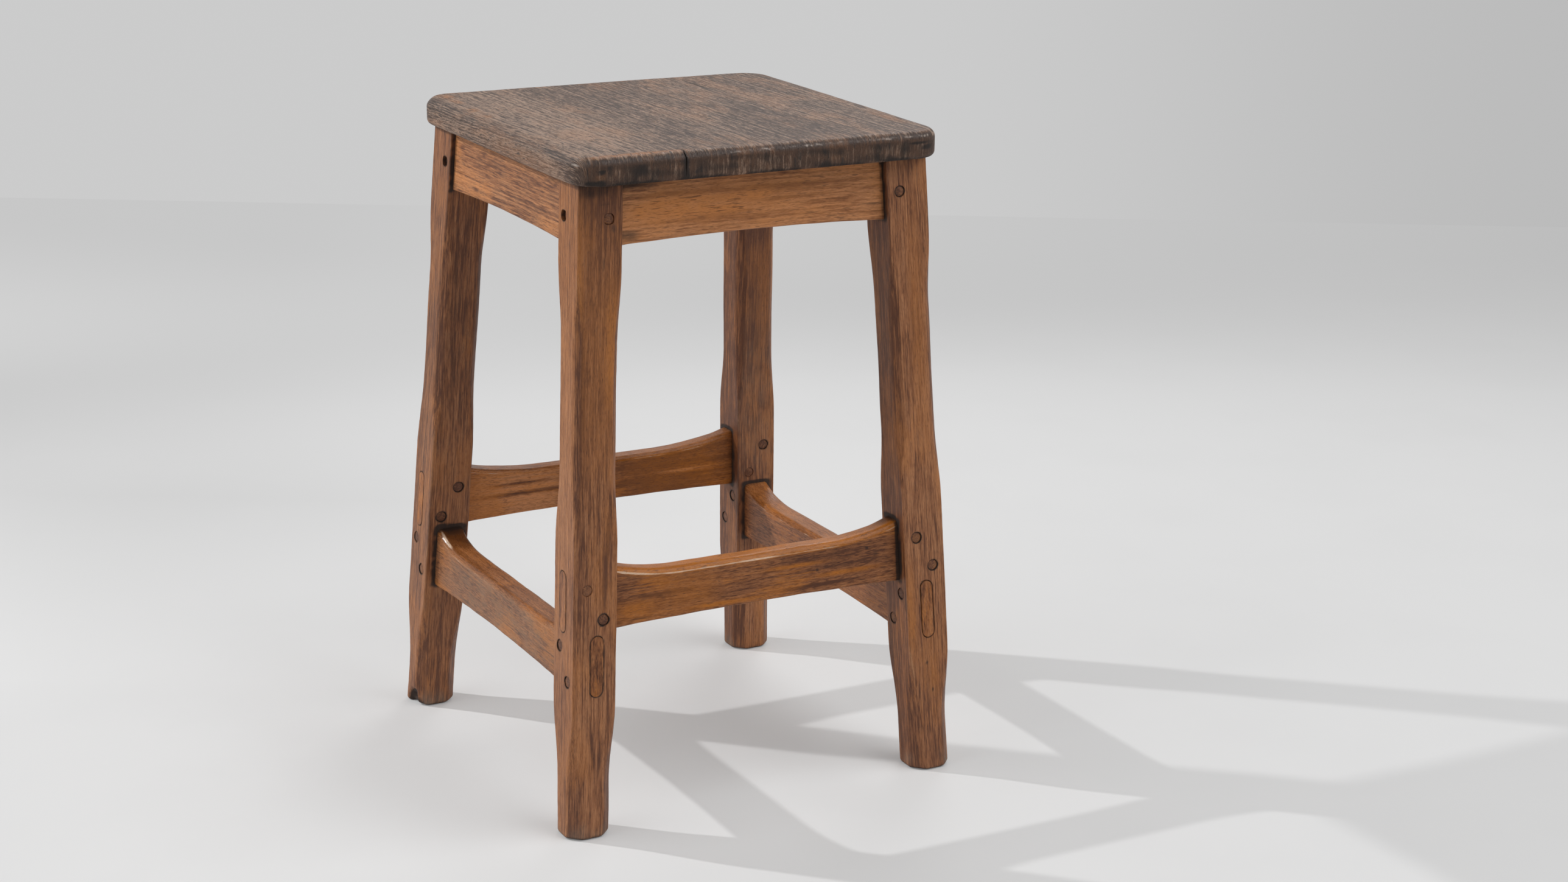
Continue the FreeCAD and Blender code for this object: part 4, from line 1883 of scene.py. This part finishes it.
@dataclass(frozen=True)
class Lamp:
    """A round lamp that faces the stool.

    Its level is what a white card facing it at the stool would show. From the distance d,
    a disk needs level * pi ** 2 * d ** 2 watts, and a spot four times that.
    """

    name: str
    place: Place
    size: float
    level: float
    cone: float = 0.0
    aim: Place = (0.0, 0.0, 0.3)

    def build(self) -> None:
        """Adds the lamp: a spot if it has a cone, and otherwise a disk."""
        way = Vector(self.aim) - Vector(self.place)
        light = bpy.data.lights.new(self.name, "SPOT" if self.cone else "AREA")
        light.energy = self.level * math.pi ** 2 * way.length_squared
        if self.cone:
            light.energy *= 4
            light.spot_size, light.spot_blend = math.radians(self.cone), 0.6
            light.shadow_soft_size = self.size / 2
        else:
            light.shape, light.size = "DISK", self.size
        lamp = bpy.data.objects.new(self.name, light)
        lamp.location = self.place
        lamp.rotation_euler = way.to_track_quat("-Z", "Y").to_euler()
        bpy.context.scene.collection.objects.link(lamp)


@dataclass
class Studio:
    """Camera, lamps, the pale floor and the wall's colour."""

    camera_place: Place = (-1.164897, -2.289585, 1.052691)
    azimuth: float = -29.273
    elevation: float = 16.521
    roll: float = 1.097
    lens: float = 65.85
    floor_behind: float = 2.4
    floor_reach: float = 9.0
    wall_left: Rgb = grey(0.60)
    wall_right: Rgb = grey(0.50)
    paint: Rgb = grey(0.80)
    left_paint: Sequence[Tuple[float, float]] = (
        (0.24, 0.8), (0.44, 0.88), (0.56, 0.77), (0.68, 0.66), (0.84, 0.74),
    )
    far_left: Rgb = grey(0.605)
    far_right: Rgb = grey(0.52)
    near_glow: Rgb = grey(0.69)
    unlit: Rgb = grey(0.16)
    fade: Tuple[float, float] = (0.5, 2.2)
    veil: float = 0.18
    ambient: Rgb = grey(0.27)

    def camera(self) -> None:
        """Places the camera from its azimuth, elevation and roll, and makes it the scene's."""
        a, e, r = (math.radians(v) for v in (self.azimuth, self.elevation, self.roll))
        back = Vector((math.sin(a) * math.cos(e), -math.cos(a) * math.cos(e), math.sin(e)))
        level = Vector((math.cos(a), math.sin(a), 0.0))
        up = back.cross(level)
        right = math.cos(r) * level + math.sin(r) * up
        above = math.cos(r) * up - math.sin(r) * level
        data = bpy.data.cameras.new("camera")
        data.sensor_fit, data.sensor_width, data.lens = "HORIZONTAL", 36.0, self.lens
        camera = bpy.data.objects.new("camera", data)
        turn = Matrix((right, above, back)).transposed().to_4x4()
        camera.matrix_world = Matrix.Translation(Vector(self.camera_place)) @ turn
        bpy.context.scene.collection.objects.link(camera)
        bpy.context.scene.camera = camera

    def lamps(self) -> None:
        """The small key at the back left and soft lamps at the left, the front and the back."""
        Lamp("key", (-1.876, 1.690, 1.990), size=0.07, level=0.44, cone=64.0).build()
        Lamp("back_right", (1.6, 1.7, 2.3), size=1.2, level=0.13).build()
        Lamp("front_right", (1.5, -1.6, 2.8), size=3.0, level=0.50).build()
        Lamp("left", (-3.0, 0.2, 1.6), size=3.6, level=0.30).build()

    def floor(self) -> None:
        """A level sheet that ends in a line square to the view, behind the stool."""
        a = math.radians(self.azimuth)
        ahead = np.array([-math.sin(a), math.cos(a), 0.0])
        aside = np.array([math.cos(a), math.sin(a), 0.0])
        count = 24
        far = np.linspace(-self.floor_reach, self.floor_behind, count)[:, None, None] * ahead
        wide = np.linspace(-self.floor_reach, self.floor_reach, count)[None, :, None] * aside
        points = (far + wide).reshape(-1, 3)
        first = (np.arange(count - 1)[:, None] * count + np.arange(count - 1)[None]).ravel()
        quads = np.stack([first, first + 1, first + count + 1, first + count], -1)
        sheet = raw_object("floor", Shell(points, quads, np.zeros((0, 3), int)))
        graph = Graph(bpy.data.materials.new("floor_paint"))
        place = graph.node("TexCoord", {}, {}, "Object")
        x, y, _ = place.parts()
        depth = x * float(ahead[0]) + y * float(ahead[1])
        across = x * float(aside[0]) + y * float(aside[1])
        far = across.step(-0.6, 1.8).ramp(((0.0, self.far_left), (1.0, self.far_right)))
        far = far.mixed(self.near_glow, (depth + across * 0.3).step(1.9, 1.0))
        far = far.mixed(grey(0.95), across.step(-0.3, -0.8), "MULTIPLY")
        glow = graph.node("Emission", {}, {"Color": far, "Strength": 1.0})
        eye, gloss = graph.outputs("LightPath", {}, {}, ("Is Camera Ray", "Is Glossy Ray"))
        # The floor's paint is darker in a band and towards the left: painted light falloff and soft shade.
        band = (depth * 0.4 + 0.4).ramp([(at, grey(level)) for at, level in self.left_paint])
        white = band.mixed(self.paint, across.step(-0.5, 0.1))
        white = white.mixed(grey(0.90), across.step(-0.3, -0.7), "MULTIPLY")
        white = white.mixed(self.unlit, depth.step(-0.4, -1.2) * gloss)
        white = white.mixed(grey(0.70), graph.noise(place, (5, 5, 5), 3.0).step(0.42, 0.70) * 0.12)
        shader = graph.node("BsdfPrincipled", {}, {"Base Color": white, "Roughness": 0.9})
        # To the eye the floor glows: fully far off, where it meets the wall, and by the veil's share near
        # the stool, which lightens its shadows as painted light.
        share = ((depth - across * 0.45).step(*self.fade) * (1 - self.veil) + self.veil) * eye
        graph.end(graph.node("MixShader", {}, {0: share, 1: shader, 2: glow}))
        sheet.data.materials.append(graph.owner)

    def wall(self) -> None:
        """The world: the wall's colour to the eye and to gloss, an even light to the rest."""
        graph = Graph(bpy.data.worlds.new("studio"))
        bpy.context.scene.world = graph.owner
        way = graph.node("TexCoord", {}, {}, "Generated")
        a = math.radians(self.azimuth)
        x, y, _ = way.parts()
        across = x * math.cos(a) + y * math.sin(a)
        seen = across.step(0.02, 0.27).ramp(((0.0, self.wall_left), (1.0, self.wall_right)))
        kinds = ("Is Camera Ray", "Is Glossy Ray", "Is Transmission Ray")
        rays = graph.outputs("LightPath", {}, {}, kinds)
        direct = rays[0].math("MAXIMUM", rays[1]).math("MAXIMUM", rays[2])
        lit = graph.node("Background", {}, {"Color": self.ambient, "Strength": 1.0})
        shown = graph.node("Background", {}, {"Color": seen, "Strength": 1.0})
        graph.end(graph.node("MixShader", {}, {0: direct, 1: lit, 2: shown}), "World")

    def build(self) -> None:
        """Sets up everything but the stool."""
        bpy.context.scene.view_settings.view_transform = "Standard"
        self.camera()
        self.lamps()
        self.floor()
        self.wall()


# Assembly

LEG_WOOD = Timber(
    "leg_wood", dark=(0.120, 0.042, 0.018), middle=(0.265, 0.101, 0.039), light=(0.41, 0.180, 0.078),
    streak=(0.075, 0.027, 0.014), worn=(0.56, 0.32, 0.17), amber=(0.43, 0.155, 0.034),
    cloud_share=0.5, contrast=1.2, fleck_share=0.36, streak_share=0.8,
    streak_size=(0.0017, 0.070), dash_size=(0.0012, 0.020), bump_size=0.0004, bump_strength=0.6,
)
STRETCHER_WOOD = Timber(
    "stretcher_wood", dark=(0.100, 0.034, 0.014), middle=(0.27, 0.100, 0.036), light=(0.47, 0.20, 0.078),
    streak=(0.065, 0.022, 0.011), worn=(0.85, 0.63, 0.46), amber=(0.50, 0.160, 0.012),
    roughness=0.42, specular=0.3, amber_share=0.5, fleck_share=0.55,
)
APRON_WOOD = Timber(
    "apron_wood", dark=(0.13, 0.045, 0.018), middle=(0.31, 0.120, 0.045), light=(0.50, 0.22, 0.09),
    streak=(0.075, 0.026, 0.012), worn=(0.60, 0.33, 0.17), amber=(0.56, 0.21, 0.055),
    amber_share=0.5, fleck_share=0.65, ring_share=0.25, streak_size=(0.0026, 0.080),
    dash_size=(0.0013, 0.018), contrast=1.45,
)
SEAT_WOOD = Timber(
    "seat_wood", dark=(0.060, 0.034, 0.024), middle=(0.148, 0.091, 0.063), light=(0.28, 0.188, 0.135),
    streak=(0.036, 0.021, 0.016), worn=(0.60, 0.50, 0.43), amber=(0.36, 0.155, 0.06), roughness=0.55,
    pith=(0.42, 0.012), ring_share=0.24, pore_share=0.6, amber_share=0.26,
    streak_size=(0.0030, 0.030), dash_size=(0.0018, 0.011), sheet=0.6, cloud_share=0.55,
    fleck_share=0.9, contrast=2.25, bump_size=0.0012, bump_strength=0.9,
)
PEG_WOOD = Timber(
    "peg_wood", dark=(0.095, 0.034, 0.016), middle=(0.205, 0.078, 0.031), light=(0.33, 0.14, 0.06),
    streak=(0.08, 0.03, 0.015), worn=(0.5, 0.3, 0.18), amber=(0.38, 0.15, 0.04),
)

SEAT_STROKES = (
    *strokes(Turn.BACK, Quality.AMBER,
        (-0.159, 0.153, 0.006, 0.010, 0.8), (-0.161, 0.125, 0.004, 0.012, 0.7),
        (-0.164, 0.078, 0.005, 0.008, 0.7), (-0.165, 0.044, 0.004, 0.007, 0.6),
        (0.163, -0.10, 0.006, 0.03, 0.5), (-0.125, -0.1675, 0.045, 0.0035, 0.9),
    ),
    # Pale spots at the front left corner: a painted glint.
    *strokes(Turn.BACK, Quality.WEAR, (-0.1670, -0.159, 0.0060, 0.008, 0.35)),
    *strokes(Turn.LEFT, Quality.WEAR,
        (-0.1595, 0.5938, 0.0036, 0.0016, 1.3), (-0.1635, 0.5926, 0.0030, 0.0010, 0.9),
    ),
    *strokes(Turn.BACK, Quality.TONE,
        (-0.02, 0.02, 0.06, 0.10, 0.04), (-0.14, 0.0, 0.06, 0.19, 0.31), (0.09, -0.06, 0.05, 0.08, -0.04),
    ),
    *strokes(Turn.FRONT, Quality.GRIME,
        (-0.157, 0.588, 0.0022, 0.0013, 0.9), (-0.166, 0.578, 0.0045, 0.0022, 0.9),
        (-0.158, 0.578, 0.0034, 0.0022, 0.9), (-0.150, 0.590, 0.0020, 0.0060, 0.5),
        (-0.120, 0.588, 0.0060, 0.0060, 0.5), (0.150, 0.590, 0.0080, 0.0012, 0.9),
        (0.158, 0.586, 0.0060, 0.0010, 0.8),
    ),
    *strokes(Turn.FRONT, Quality.AMBER,
        (-0.170, 0.5885, 0.0035, 0.0030, 0.5), (-0.158, 0.5835, 0.0040, 0.0025, 0.4),
    ),
    *strokes(Turn.FRONT, Quality.TONE,
        (-0.02, 0.588, 0.03, 0.02, 0.14), (0.08, 0.588, 0.02, 0.02, -0.08),
        (-0.165, 0.588, 0.014, 0.02, -0.20),
    ),
    *strokes(Turn.LEFT, Quality.TONE, (0.0, 0.588, 0.20, 0.02, 0.24), (-0.170, 0.588, 0.030, 0.02, -0.24)),
    *strokes(Turn.LEFT, Quality.AMBER, (-0.06, 0.583, 0.08, 0.008, 0.35)),
)
FRONT_LEFT_STROKES = (
    *strokes(Turn.LEFT, Quality.TONE, (0.0, 0.37, 0.03, 0.12, 0.07), (0.0, 0.12, 0.03, 0.06, -0.09)),
    *strokes(Turn.FRONT, Quality.TONE,
        (0.0, 0.36, 0.03, 0.12, -0.05), (0.0105, 0.255, 0.0018, 0.045, -0.6, 0.05),
        (-0.001, 0.082, 0.0018, 0.022, -0.5, -0.1), (0.006, 0.075, 0.0016, 0.018, -0.4, 0.08),
        # The first row here, at height 0.552, is painted shade under the seat.
        (0.0, 0.552, 0.03, 0.030, -0.16), (0.0, 0.44, 0.03, 0.10, -0.04), (0.0, 0.08, 0.03, 0.10, 0.12),
    ),
    *strokes(Turn.LEFT, Quality.AMBER, (0.0, 0.42, 0.03, 0.16, 0.22)),
    *strokes(Turn.FRONT, Quality.AMBER,
        (0.012, 0.43, 0.006, 0.05, 0.6), (0.0, 0.42, 0.03, 0.10, 0.36),
        (-0.0185, 0.505, 0.0030, 0.06, 0.5),
    ),
    *strokes(Turn.FRONT, Quality.GRIME,
        (0.0042, 0.5569, 0.0060, 0.0014, 0.5), (0.0125, 0.5358, 0.0030, 0.0040, 0.5),
        # The first row here, at height 0.567, is painted shade under the seat, with some dirt.
        (-0.0085, 0.5670, 0.0120, 0.0050, 0.4), (0.0034, 0.5069, 0.0016, 0.0070, 0.6),
    ),
)
FRONT_RIGHT_STROKES = (
    *strokes(Turn.FRONT, Quality.AMBER,
        (-0.017, 0.156, 0.005, 0.045, 0.8), (0.004, 0.42, 0.008, 0.10, 0.45),
        (0.004, 0.095, 0.007, 0.024, 0.55),
    ),
    *strokes(Turn.FRONT, Quality.TONE, (-0.012, 0.545, 0.006, 0.03, -0.10), (0.0, 0.34, 0.03, 0.16, 0.07)),
    *strokes(Turn.FRONT, Quality.GRIME,
        (-0.003, 0.105, 0.0016, 0.0022, 0.7), (0.002, 0.078, 0.0014, 0.0024, 0.7),
    ),
    *strokes(Turn.LEFT, Quality.TONE, (0.0, 0.10, 0.03, 0.10, -0.06), (0.0, 0.44, 0.03, 0.12, -0.07)),
    *strokes(Turn.LEFT, Quality.DUST, (0.0, 0.44, 0.03, 0.12, 0.20)),
    *strokes(Turn.LEFT, Quality.GRIME, (0.002, 0.2410, 0.010, 0.0026, 0.85)),
)
BACK_RIGHT_STROKES = (
    *strokes(Turn.FRONT, Quality.TONE,
        # Darker high on the front face and lighter low: painted shade of the seat over the leg.
        (0.0, 0.43, 0.03, 0.14, -0.29), (0.0, 0.07, 0.03, 0.07, 0.19), (0.0, 0.25, 0.03, 0.08, 0.05),
    ),
    *strokes(Turn.FRONT, Quality.DUST, (0.0, 0.27, 0.03, 0.14, 0.30)),
    *strokes(Turn.FRONT, Quality.AMBER, (0.005, 0.06, 0.006, 0.05, 0.5)),
    *strokes(Turn.LEFT, Quality.GRIME, (0.003, 0.2410, 0.010, 0.0026, 0.8)),
    *strokes(Turn.FRONT, Quality.GRIME, (0.0, 0.1860, 0.013, 0.0026, 0.8)),
)
BACK_LEFT_STROKES = (
    *strokes(Turn.LEFT, Quality.TONE, (0.0, 0.45, 0.03, 0.10, -0.04), (0.012, 0.30, 0.006, 0.10, -0.08)),
    *strokes(Turn.LEFT, Quality.DUST, (0.0, 0.30, 0.03, 0.30, 0.24)),
    *strokes(Turn.FRONT, Quality.DUST, (0.0, 0.30, 0.03, 0.30, 0.20)),
    *strokes(Turn.FRONT, Quality.TONE, (0.0, 0.02, 0.03, 0.04, -0.04)),
    *strokes(Turn.FRONT, Quality.GRIME,
        (-0.005, 0.1868, 0.008, 0.0036, 0.95), (0.007, 0.1855, 0.009, 0.0026, 0.85),
    ),
)


def stretchers() -> List[Stretcher]:
    """The four stretchers.

    Returns:
        The front, right, back and left one.
    """
    front, right, back, left = (Side(turn) for turn in Turn)
    high = {"base": STOOL.high_base, "height": STOOL.rail_height, "thickness": 0.020}
    low = {"base": STOOL.low_base, "height": STOOL.rail_height, "thickness": 0.026}
    low.update(scoop=0.0115, arch=0.004)
    return [
        Stretcher(front, inset=0.012, seed=101, flat=0.49, faint_pegs=((-1, 1, 1.0),), strokes=(
            *strokes(Turn.FRONT, Quality.GRIME,
                # The first row, at the right shoulder, is painted shade in the recess beside the leg, with
                # some dirt.
                (0.1455, 0.21, 0.0035, 0.04, 0.8), (0.112, 0.219, 0.0022, 0.0016, 0.7),
                (0.121, 0.213, 0.0035, 0.0016, 0.6), (0.060, 0.206, 0.0018, 0.0018, 0.7),
                (-0.118, 0.1885, 0.012, 0.0014, 0.6),
            ),
            *strokes(Turn.FRONT, Quality.AMBER,
                (-0.07, 0.205, 0.03, 0.02, 0.4), (-0.122, 0.196, 0.022, 0.010, 0.6),
                (0.090, 0.2005, 0.034, 0.0022, 0.7), (0.035, 0.2130, 0.030, 0.0020, 0.7),
                (-0.030, 0.1900, 0.040, 0.0022, 0.7),
            ),
            *strokes(Turn.FRONT, Quality.TONE,
                (0.07, 0.215, 0.04, 0.012, -0.08), (0.02, 0.195, 0.05, 0.008, -0.08),
                (0.060, 0.1925, 0.035, 0.0016, -0.35), (-0.090, 0.2085, 0.030, 0.0014, -0.35),
            ),
            *strokes(Turn.RIGHT, Quality.TONE, (0.122, 0.012, 0.030, 0.010, -0.24)),
            *strokes(Turn.RIGHT, Quality.GRIME,
                (0.138, 0.013, 0.014, 0.010, 0.45), (0.095, 0.014, 0.014, 0.004, 0.35),
            ),
        ), **high),
        Stretcher(right, inset=0.008, seed=120, flat=0.53, power=2.8, gold=0.28, gap=0.00070, **low),
        Stretcher(back, inset=0.007, seed=140, flat=0.39, power=2.0, gold=0.4, faint_pegs=((-1, -1, 0.8),),
            strokes=(
            *strokes(Turn.BACK, Quality.TONE,
                (-0.05, 0.200, 0.05, 0.0024, -0.8), (-0.10, 0.213, 0.03, 0.0022, -0.7),
                (-0.09, 0.206, 0.03, 0.0016, 0.5), (0.08, 0.206, 0.05, 0.0024, -0.7),
                # The broad rows of half height 0.04 light the left end and darken the right one: partly the
                # wood's own colour, partly painted light and shade.
                (0.09, 0.216, 0.03, 0.0020, -0.5), (0.09, 0.21, 0.05, 0.04, 0.44),
                (-0.08, 0.21, 0.07, 0.04, -0.31),
            ),
            *strokes(Turn.BACK, Quality.AMBER, (-0.08, 0.21, 0.07, 0.04, 0.40)),
        ), **high),
        Stretcher(left, inset=0.010, seed=160, flat=0.53, power=2.6, tone=-0.04, gold=0.2, strokes=(
            *strokes(Turn.RIGHT, Quality.GRIME,
                (-0.149, 0.013, 0.004, 0.015, 0.9), (-0.141, 0.015, 0.009, 0.014, 0.6),
            ),
            *strokes(Turn.RIGHT, Quality.TONE, (-0.132, 0.015, 0.020, 0.014, -0.42)),
            *strokes(Turn.RIGHT, Quality.SHINE, (-0.125, 0.008, 0.022, 0.010, 0.9)),
            # A pale line along the arris near the back leg: a painted highlight.
            *strokes(Turn.RIGHT, Quality.WEAR, (-0.128, 0.0030, 0.016, 0.0015, 0.9)),
            *strokes(Turn.FRONT, Quality.AMBER, (-0.10, 0.172, 0.04, 0.006, 0.3)),
            *strokes(Turn.FRONT, Quality.DUST, (0.0, 0.156, 0.20, 0.05, 0.42)),
            *strokes(Turn.FRONT, Quality.TONE, (0.0, 0.156, 0.20, 0.05, 0.09)),
        ), **low),
    ]


def aprons() -> List[Apron]:
    """The four aprons.

    Returns:
        The front, right, back and left one.
    """
    front, right, back, left = (Side(turn) for turn in Turn)
    size = {"base": STOOL.height - STOOL.apron_height, "height": STOOL.apron_height, "thickness": 0.020}
    return [
        Apron(front, inset=0.008, seed=201, tone=0.27, faint_pegs=((-1, 0, 0.45),), strokes=(
            *strokes(Turn.FRONT, Quality.TONE,
                (0.02, 0.557, 0.05, 0.0020, -0.45), (-0.06, 0.535, 0.04, 0.0020, -0.40),
                (0.07, 0.541, 0.03, 0.0020, -0.40), (0.01, 0.531, 0.06, 0.0060, -0.22),
                # The two broad dark rows here, at heights 0.559 and 0.5555, are painted shade under the
                # seat.
                (-0.070, 0.5590, 0.040, 0.0036, -0.50), (0.050, 0.5555, 0.060, 0.0040, -0.35),
                (-0.030, 0.5385, 0.040, 0.0017, -0.50), (0.035, 0.5465, 0.035, 0.0017, -0.50),
                (-0.05, 0.552, 0.04, 0.014, 0.08), (-0.11, 0.55, 0.03, 0.03, -0.06),
            ),
            *strokes(Turn.FRONT, Quality.GRIME,
                # The first row here, at height 0.569, is painted shade under the seat.
                (-0.115, 0.569, 0.025, 0.006, 0.55), (-0.121, 0.526, 0.012, 0.006, 0.6),
            ),
            *strokes(Turn.FRONT, Quality.AMBER,
                (-0.080, 0.5475, 0.030, 0.0034, 1.2), (-0.045, 0.5425, 0.028, 0.0028, 1.1),
                (-0.020, 0.5515, 0.034, 0.0028, 1.1), (-0.085, 0.5450, 0.035, 0.012, 0.5),
                (-0.02, 0.548, 0.10, 0.018, 0.5),
            ),
        ), **size),
        Apron(right, inset=0.005, seed=220, peg_recess=0.003, **size),
        Apron(back, inset=0.008, seed=240, **size),
        Apron(left, inset=0.005, seed=260, peg_recess=0.003, tone=0.10, strokes=(
            *strokes(Turn.FRONT, Quality.AMBER, (0.0, 0.545, 0.20, 0.05, -0.3)),
            *strokes(Turn.FRONT, Quality.DUST, (0.0, 0.545, 0.20, 0.05, 0.22)),
        ), **size),
    ]


def legs() -> List[Leg]:
    """The four legs.

    Returns:
        The front left, front right, back right and back left one.
    """
    chips = (
        Dent((-0.1970, 0.1725, 0.0030), 0.0075, 0.0052, (1.0, 0.3, 0.3), power=4.0, dirt=0.7),
        Dent((-0.1965, 0.1710, 0.0095), 0.0055, 0.0040, (1.0, 0.3, -0.1), power=3.0, dirt=0.55),
        Dent((-0.1960, 0.1685, 0.0140), 0.0034, 0.0022, (1.0, 0.3, -0.2), power=3.0, dirt=0.4),
    )
    return [
        # The four face values run front, right, back, left: lighter on the lit outer left faces and darker
        # on the inner faces, partly painted light and shade.
        Leg(-1, -1, seed=301, tones=(-0.03, 0.0, 0.0, 0.06), strokes=FRONT_LEFT_STROKES),
        Leg(1, -1, seed=320, tones=(0.03, 0.0, 0.0, -0.12), strokes=FRONT_RIGHT_STROKES),
        Leg(1, 1, seed=340, tones=(-0.06, 0.0, 0.0, -0.20), strokes=BACK_RIGHT_STROKES),
        Leg(-1, 1, seed=360, tones=(-0.01, 0.0, 0.0, 0.0), strokes=BACK_LEFT_STROKES, dents=chips),
    ]


def seat() -> Seat:
    """The seat with its drying crack, the slit in its top and the worn corner.

    Returns:
        The seat.
    """
    crack = Crack(x=-0.0788, edge=-0.176, length=0.011, width=0.0013, drop=0.022, seed=5)
    slit = Crack(x=0.084, edge=0.132, length=0.024, width=0.0009, drop=0.002, seed=6, inside=True)
    corner = Dent((-0.176, -0.172, 0.6), radius=0.012, depth=0.0018, way=(1, 1, -1))
    return Seat(strokes=SEAT_STROKES, dents=(corner,), cracks=(crack, slit))


def main() -> None:
    """Builds the stool piece by piece and the studio round it."""
    logging.basicConfig(level=logging.INFO, format="%(name)s: %(message)s")
    low_rails, high_rails = stretchers(), aprons()
    rails = low_rails + high_rails
    for rail in low_rails:
        rail.build(STRETCHER_WOOD)
    for rail in high_rails:
        rail.build(APRON_WOOD)
    for leg in legs():
        leg.build(LEG_WOOD, rails)
    seat().build(SEAT_WOOD, rails)
    pegs = Pegs(PEG_WOOD)
    for rail in rails:
        pegs.build(rail)
    for turn in Turn:
        pegs.stain_dowels(Side(turn))
    Studio().build()


if __name__ == "__main__":
    main()
